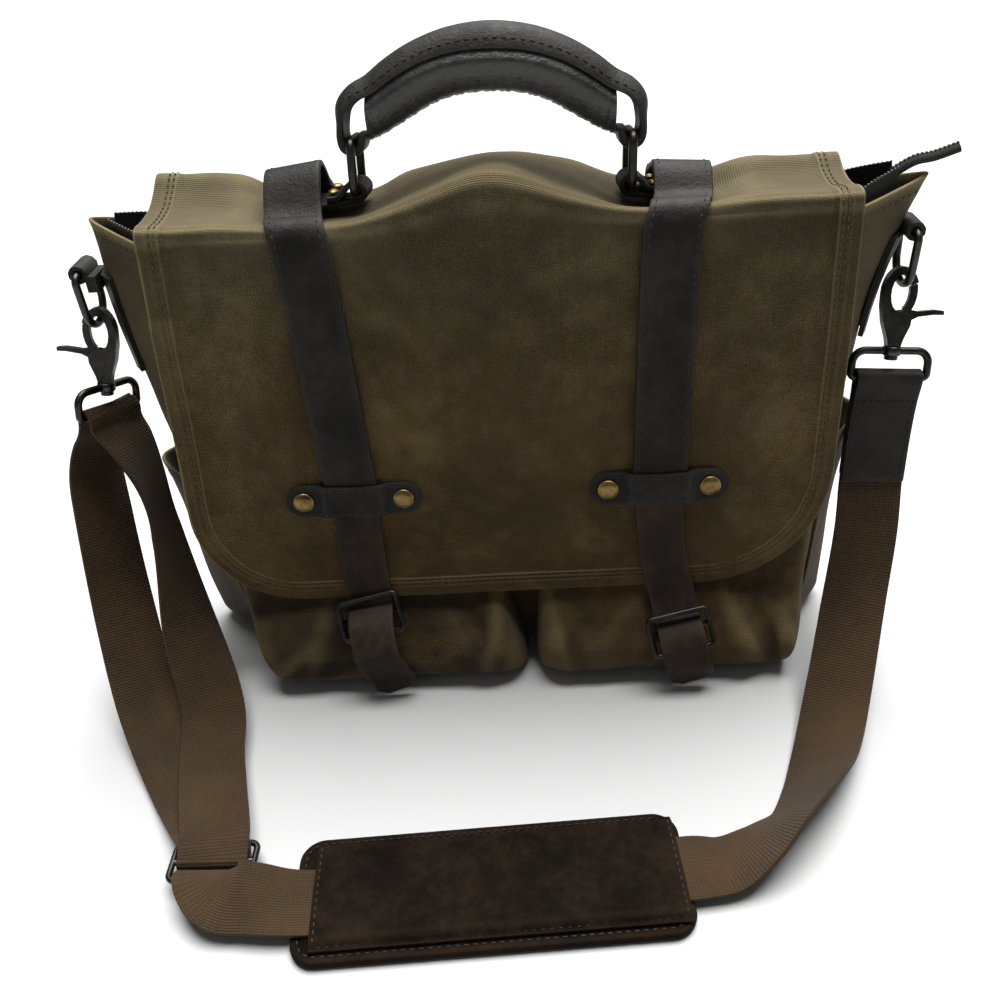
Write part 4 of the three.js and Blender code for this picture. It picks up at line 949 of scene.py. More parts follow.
def make_pad():
    """Foam pad in leather: rounded slab with a sewn edge, and a cover that holds the webbing down."""
    bm = bmesh.new()
    bmesh.ops.create_grid(bm, x_segments=1, y_segments=1, size=0.5)
    size = (PAD_LENGTH * MM, PAD_WIDTH * MM, 1)
    bmesh.ops.scale(bm, vec=size, verts=bm.verts)
    bmesh.ops.bevel(
        bm, geom=bm.verts[:], offset=PAD_CORNER * MM, segments=10, profile=0.5, affect="VERTICES",
        material=-1,
    )
    bmesh.ops.translate(bm, vec=(0, 0, GAP * MM), verts=bm.verts)
    top = bmesh.ops.extrude_face_region(bm, geom=bm.faces[:])
    lifted = [item for item in top["geom"] if isinstance(item, bmesh.types.BMVert)]
    bmesh.ops.translate(bm, vec=(0, 0, PAD_THICKNESS * MM), verts=lifted)
    crown = max(bm.faces, key=lambda face: face.calc_center_median().z)
    for width, depth in ((3.2, 0.0), (0.9, -0.5), (0.9, 0.5)):
        bmesh.ops.inset_region(bm, faces=[crown], thickness=width * MM, depth=depth * MM)
    bmesh.ops.recalc_face_normals(bm, faces=bm.faces)
    soften(bm, 60)
    placed(bm, PAD_MATRIX)
    # The pad's darker leather is partly painted shadow of the bag falling over it
    base = dressed("pad_base", bm, "pad_leather_painted_shadow")
    soft_edges(base, 1.6, 4, 60)

    def cover_point(y, x):
        over = smooth_step(PAD_COVER_HALF_WIDTH - 1 - abs(y), 0, 5)
        sag = 0.5 * noise.noise(Vector((x * 0.03, y * 0.05, 7.0)))
        return on_pad(x, y, 5.3 + GAP + 2.5 * over + sag * over)

    rows = np.linspace(-PAD_LENGTH / 2 + 10, PAD_LENGTH / 2 - 3, 60)
    edge = np.linspace(22, PAD_COVER_HALF_WIDTH, 8)
    columns = np.concatenate([-edge[::-1], np.linspace(-19, 19, 13), edge])
    cover = sheet(
        "pad_cover", columns, rows, cover_point, PAD_COVER_WALL, "pad_leather_painted_shadow", offset=1.0, flip=True,
    )
    runs = []
    for y in (-28.6, 28.6):
        runs.append([(on_pad(x, y, 7.9), UPWARD) for x in (rows[1], rows[-2])])
    for x in (rows[0] + 2.2, rows[-1] - 2.2):
        runs.append([(cover_point(y, x) + (0, 0, 2.1), UPWARD) for y in np.linspace(-28, 28, 27)])
    border = [(on_pad(x, y, 5.35), UPWARD) for x, y in rounded_outline(95.2, 31.9, -31.9, 9.5)]
    stitches = stitched("pad_stitches", [*runs, [*border, border[0]]], "dark_thread")
    return base, cover, stitches


webbing, webbing_stations = make_webbing()
strap_end, strap_end_stitches = make_strap_end()
slider = make_slider()
pad_base, pad_cover, pad_stitches = make_pad()
[tuple(s.at * MM) for s in webbing_stations]


# Body walls

# Heights of the cloth's unevenness, and strength of the pockets' folds
WALL_UNEVEN = 1.6
SIDE_POCKET_UNEVEN = 1.1
POCKET_UNEVEN = 1.3
POCKET_CREASES = 1.5
# Swell of the front and back walls at their middle
FRONT_SWELL = 1.5
BACK_SWELL = 4.0
SWELL_SPAN = 400.0


def body(column, z):
    return smooth_value(BODY, "z", column, z)


def bulge(x, z):
    """Swell of a wall, from 1 at its middle to 0 at its foot and rim."""
    return math.sin(math.pi * z / RIM_HEIGHT) * math.cos(math.pi * x / SWELL_SPAN)


def front_face(x, z, tuck=0.0):
    return body("front", z) + tuck - FRONT_SWELL * bulge(x, z)


def back_face(x, z, tuck=0.0):
    return body("back", z) - tuck + BACK_SWELL * bulge(x, z)


def panel_x(share, z, tuck):
    """Place across a panel, from its left edge to its right one."""
    left = body("left_edge", z) + tuck
    right = body("right_edge", z) - tuck
    return left + (right - left) * share


def wall_rows(count):
    """Height and inward tuck of the wall rows, from the rounded turn at the base to the rim."""
    turn = []
    for angle in np.radians(range(0, 90, 15)):
        turn.append((BASE_ROUND * (1 - math.cos(angle)), BASE_ROUND * (1 - math.sin(angle))))
    return turn + [(z, 0.0) for z in np.linspace(BASE_ROUND, RIM_HEIGHT, count)]


def uneven(point, size, seed):
    """Soft unevenness of handled cloth, about -1 to 1."""
    spot = Vector(point) / size + Vector((seed, seed * 0.7, 0))
    return noise.noise(spot) + 0.45 * noise.noise(spot * 2.3)


def hem_height(distance, width=HEM_WIDTH, rise=0.9):
    """Doubled cloth along an edge, with the dents of its two stitch rows."""
    band_rise = rise * smooth_step(width + 1.2 - distance, 0, 1.6)
    dents = 0.45 * bump(distance, width - 1.6, 0.9) + 0.45 * bump(distance, width - 4.4, 0.9)
    return band_rise - dents


def wall_relief(seed):
    """Relief of a body wall: its doubled rim, and unevenness that fades at the foot."""

    def relief(point, share, row):
        z = row[0]
        rim = hem_height(RIM_HEIGHT - z, 9.0, 0.7)
        foot = smooth_step(z, 4, 40)
        return rim + WALL_UNEVEN * foot * uneven(point, 70, seed)

    return relief


def gusset_point(side, v, z, tuck=0.0, proud=0.0):
    """Place on a gusset, v running from -1 at the front seam over the fold to 1 at the back one."""
    edge = body("left_edge" if side < 0 else "right_edge", z)
    ridge = body("left_ridge" if side < 0 else "right_ridge", z)
    seam = CANVAS + GAP + 0.1
    front = front_face(edge, z, tuck) + seam
    back = back_face(edge, z, tuck) - seam
    y = (front + back) / 2 + v * (back - front) / 2
    rounded = math.sqrt(v * v + FOLD_ROUNDING**2) - FOLD_ROUNDING
    share = 1 - rounded / (math.sqrt(1 + FOLD_ROUNDING**2) - FOLD_ROUNDING)
    x = edge + (ridge - edge) * share + side * (proud - tuck)
    return np.array((x, y, z + TIP_RISE * share * (z / RIM_HEIGHT) ** 3))


# Stitches of a gusset: place of its side seams as a share of its half depth, and height of the rim's row
SEAM_SHARE = 0.93
RIM_STITCH_HEIGHT = 268.5


def make_body():
    shares = np.linspace(0, 1, 61)
    folds = np.linspace(-1, 1, 41)
    rows = wall_rows(56)

    def wall_point(face):
        def point(share, row):
            z, tuck = row
            x = panel_x(share, z, tuck)
            return (x, face(x, z, tuck), z)

        return point

    sheet("front_panel", shares, rows, wall_point(front_face), CANVAS, "canvas", wall_relief(1.0))
    sheet("back_panel", shares, rows, wall_point(back_face), CANVAS, "canvas", wall_relief(5.0), flip=True)
    for name, side in (("left", -1), ("right", 1)):

        def fold_point(v, row, side=side):
            return gusset_point(side, v, row[0], row[1])

        relief = wall_relief(9.0 + side)
        sheet(f"gusset_{name}", folds, rows, fold_point, CANVAS, "canvas", relief, flip=side < 0)
        runs = []
        heights = np.linspace(14, 262, 70)
        for end in (-1, 1):
            out = np.array((side, end, 0.0))
            rim = end * np.linspace(0.2, 0.95, 18)
            runs.append([(gusset_point(side, end * SEAM_SHARE, z, 0, 0.5), out) for z in heights])
            runs.append([(gusset_point(side, v, RIM_STITCH_HEIGHT, 0, 1.0), out) for v in rim])
        stitched(f"gusset_stitches_{name}", runs, "thread")
    polished("base_panel", 0.5, "pocket")


SIDE_POCKETS = (("left", -1, 130.0), ("right", 1, 143.0))
POCKET_FOOT = 10.0
POCKET_REACH = 0.94


def make_side_pockets():
    for name, side, hem in SIDE_POCKETS:

        def place(v, z, side=side, hem=hem):
            height = (z - POCKET_FOOT) / (hem - POCKET_FOOT)
            gape = GAP + 0.3 + SIDE_POCKET_GAPE * height**1.6 * (1 - (v / POCKET_REACH) ** 2)
            return gusset_point(side, v, z, 0, gape + CANVAS)

        def relief(point, v, z, side=side, hem=hem):
            high = (z - POCKET_FOOT) / (hem - POCKET_FOOT)
            soft = SIDE_POCKET_UNEVEN * high * uneven(point, 45, 13.0 + side)
            return hem_height(hem - z, 10.0, 0.7) + soft

        columns = np.linspace(-POCKET_REACH, POCKET_REACH, 41)
        rows = np.linspace(POCKET_FOOT, hem, 40)
        sheet(f"side_pocket_{name}", columns, rows, place, CANVAS, "pocket", relief, flip=side < 0)
        runs = []
        for drop in (5.6, 8.4):
            run = []
            for v in np.linspace(-0.9, 0.9, 40):
                run.append((place(v, hem - drop) + (side * 0.6, 0, 0), np.array((side, v, 0.0))))
            runs.append(run)
        stitched(f"side_pocket_stitches_{name}", runs, "thread")


POCKET_DEPTHS = table(
    "z depth",
    (3.4, 20), (5, 31), (12, 38), (27, 38.6), (42, 28), (55, 18.5), (72, 14.2), (160, 9),
)
POCKET_ACROSS = table(
    "share depth",
    (0, 0.15), (0.004, 0.6), (0.03, 0.9), (0.1, 1), (0.35, 1),
    (0.65, 1), (0.9, 1), (0.97, 0.9), (0.996, 0.6), (1, 0.15),
)
# Soft folds of the pockets: place, direction of the ridge from +X up, reach along and across, height
POCKET_FOLDS = table(
    "x z angle along across height",
    (-118, 40, 70, 30, 9, 2.0),
    (-140, 22, 40, 16, 6, 1.6),
    (-100, 14, 8, 34, 6, 1.5),
    (-60, 34, -20, 26, 9, -1.8),
    (-14, 30, 75, 24, 7, 1.6),
    (-28, 46, -55, 22, 6, -1.6),
    (28, 30, 105, 22, 7, 1.8),
    (50, 40, 35, 26, 7, -2.2),
    (70, 48, 25, 22, 8, 2.0),
    (60, 16, 0, 36, 7, 1.4),
    (136, 36, 118, 24, 9, 3.2),
    (152, 30, 115, 24, 6, -2.6),
    (166, 24, 100, 18, 6, 2.2),
)


def fold_height(folds, x, z):
    """Height of all the folds of a table at one place."""
    total = 0.0
    for fold in folds:
        turn = math.radians(fold["angle"])
        dx, dz = x - fold["x"], z - fold["z"]
        along = dx * math.cos(turn) + dz * math.sin(turn)
        across = dz * math.cos(turn) - dx * math.sin(turn)
        total += fold["height"] * bump(along, 0, fold["along"]) * bump(across, 0, fold["across"])
    return total


def foot_share(z):
    """1 at the front pockets' foot, falling to 0 above it."""
    return 1 - smooth_step(z, 5, 60)


def make_front_pockets():
    ends = {
        "left": (lambda z: body("left_edge", z) + 3, lambda z: 11.5 * foot_share(z) - 3),
        "right": (lambda z: 16 - 3 * foot_share(z), lambda z: body("right_edge", z) - 3),
    }
    near = np.array((0, 0.001, 0.002, 0.004, 0.007, 0.012, 0.02, 0.03, 0.045, 0.06, 0.08))
    columns = np.concatenate([near, np.linspace(0.1, 0.9, 50), 1 - near[::-1]])
    rows = np.concatenate([
        np.linspace(3.4, 6, 8), np.linspace(6.8, 16, 10), np.linspace(18, 75, 36), np.linspace(79, 160, 22),
    ])
    for name, (start, end) in ends.items():

        def place(share, z, start=start, end=end):
            x = start(z) + (end(z) - start(z)) * share
            depth = smooth_value(POCKET_DEPTHS, "z", "depth", z)
            depth *= smooth_value(POCKET_ACROSS, "share", "depth", share)
            return (x, front_face(x, z) - GAP - depth, z)

        def relief(point, share, z):
            held = smooth_step(share, 0, 0.06) * smooth_step(1 - share, 0, 0.06) * smooth_step(z, 4, 12)
            soft = POCKET_CREASES * fold_height(POCKET_FOLDS, point[0], z)
            soft += POCKET_UNEVEN * uneven(point, 32, 21.0)
            return held * soft + hem_height(160 - z, 12.0, 0.6)

        sheet(f"front_pocket_{name}", columns, rows, place, CANVAS, "pocket", relief)


# Flap


FLAP_TOP = table(
    "y z tab sag crest tip",
    (36.2, 238, 0, 0, 0, 0),
    (30.6, 260, 0, 0, 0, 0),
    (27.8, 275, 0, 0, 0, 0),
    (26.8, 284, -3, 0, 2.5, 0.5),
    (23.6, 291, -8, 0, 6.5, 1),
    (17, 292.5, -11.5, -1.3, 9, 1),
    (7, 288, -7.6, -5.4, 14.5, 0.8),
    (-4, 285, -4.6, -4, 18.5, 0.5),
    (-15, 284.5, -3.8, -4, 20.5, 0.3),
    (-24, 286, -3.6, -1.5, 20, 0),
    (-31.5, 286, -2.5, 0, 18, 0),
    (-36.2, 280.5, -1, 0, 11, 0),
)
FLAP_FRONT = (270, 240, 200, 160, 130, 108, 90, 77, 68, 63.4, FLAP_HEM_HEIGHT)


def flap_front(z):
    """Depth of the flap's leaning front at a height."""
    return FLAP_FRONT_AT_FLOOR + FLAP_LEAN * z


def flap_rows():
    """Rows from the flap's back edge over its top and down its front, numbered in order."""
    rows = list(FLAP_TOP)
    for z in FLAP_FRONT:
        crest = 3 if z == FLAP_FRONT[0] else 0
        rows.append({"y": flap_front(z), "z": z, "tab": 0, "sag": 0, "crest": crest, "tip": 0})
    return [{**row, "order": order} for order, row in enumerate(rows)]


FLAP_ROWS = flap_rows()
FLAP_LAST = len(FLAP_ROWS) - 1
CREASE = len(FLAP_TOP)
# Running row number of the fold between the flap's top and its front
FOLD_ROW = 10.35
# Distance between the rows of the flap behind the bag
BACK_ROW_STEP = 22.0


def flap_value(column, order):
    return smooth_value(FLAP_ROWS, "order", column, order)


def flap_half_width(order, z, side):
    """Half width of the flap at a row, drawn in round its low corners."""
    corner = CORNER_LEFT if side < 0 else CORNER_RIGHT
    top = FLAP_LEFT_TOP if side < 0 else FLAP_HALF_WIDTH
    drop = min(1.0, max(0.0, (280 - z) / 150))
    straight = top + (FLAP_HALF_WIDTH - top) * drop
    rise = z - FLAP_HEM_HEIGHT
    if order < CREASE or rise > corner:
        return straight
    return straight - corner + math.sqrt(max(0.0, corner**2 - (corner - max(0.0, rise)) ** 2))


def on_flap(order, x):
    """Place on the flap at a running row number and a place across."""
    crest = flap_value("crest", order) * bump(x, 0, CREST_SPREAD)
    tab = flap_value("tab", order) * math.exp(-(((abs(x) - TAB_PLACE) / TAB_SPREAD) ** 4))
    sag = flap_value("sag", order) * math.exp(-(((x - TAB_PLACE) / TAB_SPREAD) ** 4))
    ends = 6 * smooth_step(-x, 108, 135) - 2 * smooth_step(x, 132, 160)
    z = flap_value("z", order) + crest + tab + sag + flap_value("tip", order) * ends
    return np.array((x, flap_value("y", order), z))


def flap_normal(order, x):
    """Outward direction of the flap at a place."""
    along = on_flap(order + 0.2, x) - on_flap(order - 0.2, x)
    return -unit(np.cross((1, 0, 0), along))


def order_at(z):
    """Running row number of a height on the flap's front."""
    found = next(k for k in range(CREASE, FLAP_LAST + 1) if FLAP_ROWS[k]["z"] <= z)
    above = FLAP_ROWS[found - 1]
    return above["order"] + (above["z"] - z) / (above["z"] - FLAP_ROWS[found]["z"])


def edge_distance(point, order):
    """How far a place on the flap lies from its nearest edge."""
    x, y, z = point
    side = -1 if x < 0 else 1
    corner = CORNER_LEFT if side < 0 else CORNER_RIGHT
    straight = flap_half_width(0, z, side)
    beside = straight - abs(x)
    if order < CREASE:
        return min(beside, order * BACK_ROW_STEP)
    dx, dz = abs(x) - (straight - corner), FLAP_HEM_HEIGHT + corner - z
    if dx > 0 and dz > 0:
        return corner - math.hypot(dx, dz)
    return min(beside, z - FLAP_HEM_HEIGHT)


# Soft folds of the flap's front, in the same columns as the pockets' folds
FLAP_FOLDS = table(
    "x z angle along across height",
    (0, 230, 0, 120, 26, 1.6),
    (-140, 205, 80, 60, 20, 1.2),
    (-45, 150, 84, 60, 18, 1.0),
    (30, 120, 70, 55, 18, -1.0),
    (140, 170, 95, 70, 22, 1.2),
    (0, 84, 2, 90, 12, 1.1),
    (-130, 100, 60, 40, 14, 1.2),
    (135, 100, 118, 40, 14, 1.2),
    (60, 260, 14, 50, 10, 1.0),
    (-70, 262, -10, 40, 9, 0.8),
)


def make_flap():
    half = np.concatenate([
        np.linspace(0, 0.86, 38), np.linspace(0.875, 0.965, 14), np.linspace(0.972, 1, 9),
    ])
    shares = np.concatenate([-half[:0:-1], half])
    curve = CREASE + 6
    orders = np.concatenate([
        np.linspace(0, CREASE, 84),
        np.linspace(CREASE, curve, 60)[1:],
        np.linspace(curve, FLAP_LAST, 60)[1:],
    ])

    def place(share, order):
        z = flap_value("z", order)
        side = -1 if share < 0 else 1
        return on_flap(order, share * flap_half_width(order, z, side))

    def relief(point, share, order):
        edge = edge_distance(point, order)
        pinned = bump(abs(point[0]), KEEPER_PLACE + 3, 20)
        soft = (1 - 0.75 * pinned) * smooth_step(edge, 0, 30)
        rough = 1.5 * uneven(point, 60, 33.0) + 0.5 * uneven(point, 22, 35.0)
        folds = fold_height(FLAP_FOLDS, point[0], point[2]) if order > CREASE - 1 else 0.0
        wave = 0.9 * (1 - smooth_step(edge, 0, 40)) * math.sin(point[2] * 0.05 + point[0] * 0.02)
        ridge = 0.9 * bump(order, FOLD_ROW, 0.25) - 1.1 * bump(order, FOLD_ROW + 1.6, 0.7)
        ridge *= 1 - bump(abs(point[0]), 97, 22)
        low = wave if order > CREASE + 1 else 0.0
        return hem_height(edge) + soft * (rough + folds) + ridge + low - 0.6 * pinned

    flap = sheet("flap", shares, orders, place, FLAP_WALL, "canvas", relief, flip=True)

    runs = []
    for inset in (HEM_WIDTH - 1.6, HEM_WIDTH - 4.4):
        run = []
        sides = []
        for side, corner in ((-1, CORNER_LEFT), (1, CORNER_RIGHT)):
            path = []
            top_z = FLAP_HEM_HEIGHT + corner
            down = [order_at(z) for z in np.linspace(268, top_z, 30)]
            for order in [*np.linspace(0.8, CREASE, 70), *down]:
                z = flap_value("z", order)
                path.append((order, side * (flap_half_width(0, z, side) - inset)))
            for angle in np.radians(np.linspace(4, 90, 22)):
                x = FLAP_HALF_WIDTH - corner + (corner - inset) * math.cos(angle)
                path.append((order_at(top_z - (corner - inset) * math.sin(angle)), side * x))
            sides.append(path)
        for order, x in [*sides[0], *reversed(sides[1])]:
            out = flap_normal(min(order, FLAP_LAST - 0.25), x)
            run.append((on_flap(order, x) + out * 1.0, out))
        runs.append(run)
    stitched("flap_stitches", runs, "thread")


# Leather on the flap


def strap_stations():
    """Name and stations of both flap straps, arched over the handle tabs."""
    straps = table(
        "name side top crease low tilt lift",
        ("left", -1, -101, -95, -KEEPER_PLACE, 7, 21),
        ("right", 1, 99, 91, KEEPER_PLACE, 4, 17.6),
    )
    end = order_at(KEEPER_AT + 1)
    for strap in straps:
        places = table(
            "order x", (0, strap["top"]), (8, strap["top"]), (12, strap["crease"]), (end, strap["low"]),
        )
        stations = []
        for order in [*np.linspace(0.2, 12, 84), *np.linspace(12.15, end, 40)]:
            x = smooth_value(places, "order", "x", order)
            surface = on_flap(order, x)
            near = min(1.0, abs(surface[1] - 1) / 27)
            arch = math.cos(near * math.pi / 2) ** 1.4 if 2.5 < order < 12 else 0.0
            out = flap_normal(order, x)
            at = surface + out * (GAP + 0.7 + LEATHER / 2)
            at[2] += strap["lift"] * arch
            turn = math.radians(-strap["side"] * strap["tilt"] * arch)
            stations.append(Station(at, np.array((math.cos(turn), 0, math.sin(turn))), out))
        yield strap["name"], stations


def make_straps():
    for name, stations in strap_stations():
        band(f"flap_strap_{name}", stations, STRAP_WIDTH, LEATHER, "dark_leather")
        inset, lift = STRAP_WIDTH / 2 - 3, LEATHER / 2 + 0.15
        runs = [band_run(stations, offset, lift, 3, -4) for offset in (-inset, inset)]
        stitched(f"flap_strap_stitches_{name}", runs, "dark_thread", pitch=4.8)


def make_keepers():
    plane = unit(np.array((0, -1, FLAP_LEAN)))
    rise = unit(np.array((0, FLAP_LEAN, 1)))
    inner = np.linspace(-KEEPER_HALF_LENGTH + 3, KEEPER_HALF_LENGTH - 3, 60)
    tip = KEEPER_HALF_LENGTH - np.array((0, 0.2, 0.5, 1.0, 1.6, 2.3))
    steps = np.concatenate([-tip, inner, tip[::-1]])
    for name, place in (("left", -KEEPER_PLACE), ("right", KEEPER_PLACE)):
        base = np.array((place, flap_front(KEEPER_AT), KEEPER_AT))

        def lift(d):
            over = smooth_step(STRAP_WIDTH / 2 + 6.5 - abs(d), 0, 5.5)
            return GAP + 0.15 + (LEATHER + 0.7) * over

        def point(v, d, base=base):
            past = max(0.0, abs(d) - KEEPER_HALF_LENGTH + KEEPER_HALF_HEIGHT)
            half = max(0.9, math.sqrt(max(0.0, KEEPER_HALF_HEIGHT**2 - past**2)))
            waist = 1 - 0.1 * bump(d, 0, 16)
            return base + (d, 0, 0) + rise * (v * half * waist) + plane * (lift(d) + KEEPER_WALL)

        columns = np.linspace(-1, 1, 13)
        sheet(f"keeper_{name}", columns, steps, point, KEEPER_WALL, "dark_leather", flip=True)
        runs = []
        for v in (-0.78, 0.78):
            runs.append([(point(v, d) + plane * 0.15, plane) for d in np.linspace(-30, 30, 50)])
        stitched(f"keeper_stitches_{name}", runs, "dark_thread")
        for end, shift in (("a", -RIVET_PITCH / 2), ("b", RIVET_PITCH / 2)):
            at = base + (shift, 0, 0) + plane * (GAP + 0.15 + KEEPER_WALL + 0.25)
            rivet(f"keeper_rivet_{name}_{end}", RIVET_RADIUS, RIVET_HEIGHT, at, plane)


# Half section of a rivet's cap, as shares of its radius and height
RIVET_PROFILE = (
    (0, 0), (0.96, 0), (1, 0.12), (1, 0.32), (0.93, 0.52), (0.84, 0.56),
    (0.76, 0.74), (0.55, 0.94), (0.3, 1), (0.12, 0.97), (0, 0.95),
)


def rivet(name, radius, height, at, out):
    """Domed cap with a rolled rim and a shallow dimple."""
    profile = [(radius * wide, height * high) for wide, high in RIVET_PROFILE]
    dressed(name, placed(spun(profile), standing(at, out)), "brass")


BILLETS = table(
    "name keeper buckle tip buckle_z",
    ("left", -KEEPER_PLACE, -84, -72, 53),
    ("right", KEEPER_PLACE, 99, 109, 40.5),
)
BILLET_FALL = table(
    "z off share",
    (128, 2.1, 0), (90, 2.1, 0.12), (70, 2.4, 0.3), (58, 5, 0.45), (50, 10, 0.53),
    (43, 14.8, 0.61), (35, 17.6, 0.69), (24, 18, 0.8), (13, 16.6, 0.91), (5.5, 16.4, 1),
)


def make_billets():
    fall = BILLET_FALL[::-1]

    def depth_at(z):
        return flap_front(z) - smooth_value(fall, "z", "off", z)

    for billet in BILLETS:
        name, buckle_z = billet["name"], billet["buckle_z"]
        places = table("share x", (0, billet["keeper"]), (0.6, billet["buckle"]), (1, billet["tip"]))

        def across(share, places=places):
            return smooth_value(places, "share", "x", share)

        rows = []
        for row in BILLET_FALL:
            z = row["z"]
            rows.append({"x": across(row["share"]), "y": flap_front(z) - row["off"], "z": z, "heading": 0})
        stations = []
        for spot in route(rows, 9):
            drop = buckle_z - spot.at[2]
            over = BILLET_OVER * smooth_step(drop, -8, 6.5) * (1 - 0.7 * smooth_step(drop, 17, 40))
            stations.append(Station(spot.at + spot.up * over, spot.across, spot.up))

        def pointed(share, along):
            tip = smooth_step(along, 0.9, 1.0)
            return 1 - 0.42 * tip**2, 0.25 * math.sin(along * 22 + share)

        band(f"billet_{name}", stations, BILLET_WIDTH, BILLET_WALL, "brown_leather", shape=pointed)
        runs = [band_run(stations, offset, 1.3, 8, -10) for offset in (-10.6, 10.6)]
        stitched(f"billet_stitches_{name}", runs, "dark_thread", pitch=4.8)

        share = smooth_value(fall, "z", "share", buckle_z)
        slope = math.atan((depth_at(buckle_z + 12) - depth_at(buckle_z - 12)) / 24)
        stand = moved((across(share), depth_at(buckle_z), buckle_z))
        stand = stand @ Matrix.Rotation(-slope, 4, "X") @ turned(-BUCKLE_TILT, "Y")
        outline = rounded_outline(BUCKLE_HALF_WIDTH, BUCKLE_HALF_HEIGHT, -BUCKLE_HALF_HEIGHT, 3, 6)
        frame_loop = loft(wire_rings(outline, BUCKLE_WIRE), closed=True)
        forward = Vector((0, -(LEATHER / 2 + GAP + 3.2), 0)) * MM
        bmesh.ops.translate(frame_loop, vec=forward, verts=frame_loop.verts)
        bar_rows = table("x y", (-18, -4.9), (-18, 1.6), (-16, 4.1), (16, 4.1), (18, 1.6), (18, -4.9))
        bar_points = [np.array((r["x"], r["y"], 0.0)) for r in bar_rows]
        rings = []
        for order in np.linspace(0, len(bar_points) - 1, 31):
            at, along = curve_point(bar_points, order)
            rings.append(ring_round(at, np.array((-along[1], along[0], 0)), UPWARD, 1, 1, 10))
        dressed(f"buckle_{name}", placed(joined(frame_loop, loft(rings)), stand), "gunmetal")
        polished(f"buckle_tab_{name}", 0.5, "brown_leather")


# Carry handle


HANDLE_TURN = moved((HANDLE_CENTRE, 1, RING_LOW_BAR - RING_DROP / 2))
HANDLE_TURN = HANDLE_TURN @ Matrix.Rotation(math.asin(RING_DROP / (2 * HANDLE_HALF_SPAN)), 4, "Y")
HANDLE_TURN = HANDLE_TURN @ turned(-HANDLE_LEAN, "X")
HANDLE_TURN_MM = np.array(HANDLE_TURN)
HANDLE_TURN_MM[:3, 3] /= MM


def on_handle(point):
    """Scene place of a place on the handle, in millimetres."""
    return HANDLE_TURN_MM[:3, :3] @ point + HANDLE_TURN_MM[:3, 3]


def mirrored_rows(rows):
    """Rows of a whole handle from those of its right half."""
    return [*({**row, "x": -row["x"]} for row in rows), *rows[-2::-1]]


HANDLE_LOOP_WALL = 4.6
END_LOOP = RING_WIRE + GAP + 0.25 + HANDLE_LOOP_WALL / 2
# Half of the strap from a ring's inner side to the middle: place from the ring, height, dome and wall
HANDLE_HALF = table(
    "out z dome wall",
    (-END_LOOP, 28, 0, HANDLE_LOOP_WALL),
    (-END_LOOP, 26, 0, HANDLE_LOOP_WALL),
    *(
        (END_LOOP * math.cos(a), RING_BAR_PITCH + END_LOOP * math.sin(a), 0, HANDLE_LOOP_WALL)
        for a in np.radians((225, 270, 315))
    ),
    (END_LOOP, 26, 0, HANDLE_LOOP_WALL),
    (4, 33, 2.5, 3.6),
    (1.5, 39.5, 5.5, 3),
    (-3.5, 43.5, 7, LEATHER),
    (-12, 47.2, 7.6, LEATHER),
    (-23, 54, 8.4, LEATHER),
    (-35.5, 60.2, 9, LEATHER),
    (-52, 64.8, 10, LEATHER),
    (-HANDLE_HALF_SPAN, 66.2, 10.8, LEATHER),
)
# Half of the roll: place from the ring, height of the strap's edges, dome, depth and upright turn
ROLL_HALF = table(
    "out z dome depth upright",
    (-8.3, 44.7, 5.6, 19.6, 1),
    (-12, 47.2, 7.6, 19.4, 0.6),
    (-23, 54, 8.4, 19.5, 0.2),
    (-35.5, 60.2, 9, 19.4, 0),
    (-52, 64.8, 10, 19.4, 0),
    (-HANDLE_HALF_SPAN, 66.2, 10.8, 19.4, 0),
)
ROLL_HALF_WIDTH = 14.0


def handle_route(half, per_row):
    """Rows of both halves, and stations with their running row number."""
    rows = [{**row, "x": HANDLE_HALF_SPAN + row["out"], "y": 0, "heading": 90} for row in half]
    rows = mirrored_rows(rows)
    for order, row in enumerate(rows):
        row["order"] = order
    stations = route(rows, per_row)
    return rows, list(zip(np.linspace(0, len(rows) - 1, len(stations)), stations))


def closed_curve(points, count):
    """Smooth closed curve through flat points."""
    wrapped = [np.array(point, float) for point in (*points[-2:], *points, *points[:3])]
    orders = np.linspace(0, len(points), count, endpoint=False)
    return [curve_point(wrapped, 2 + order)[0] for order in orders]


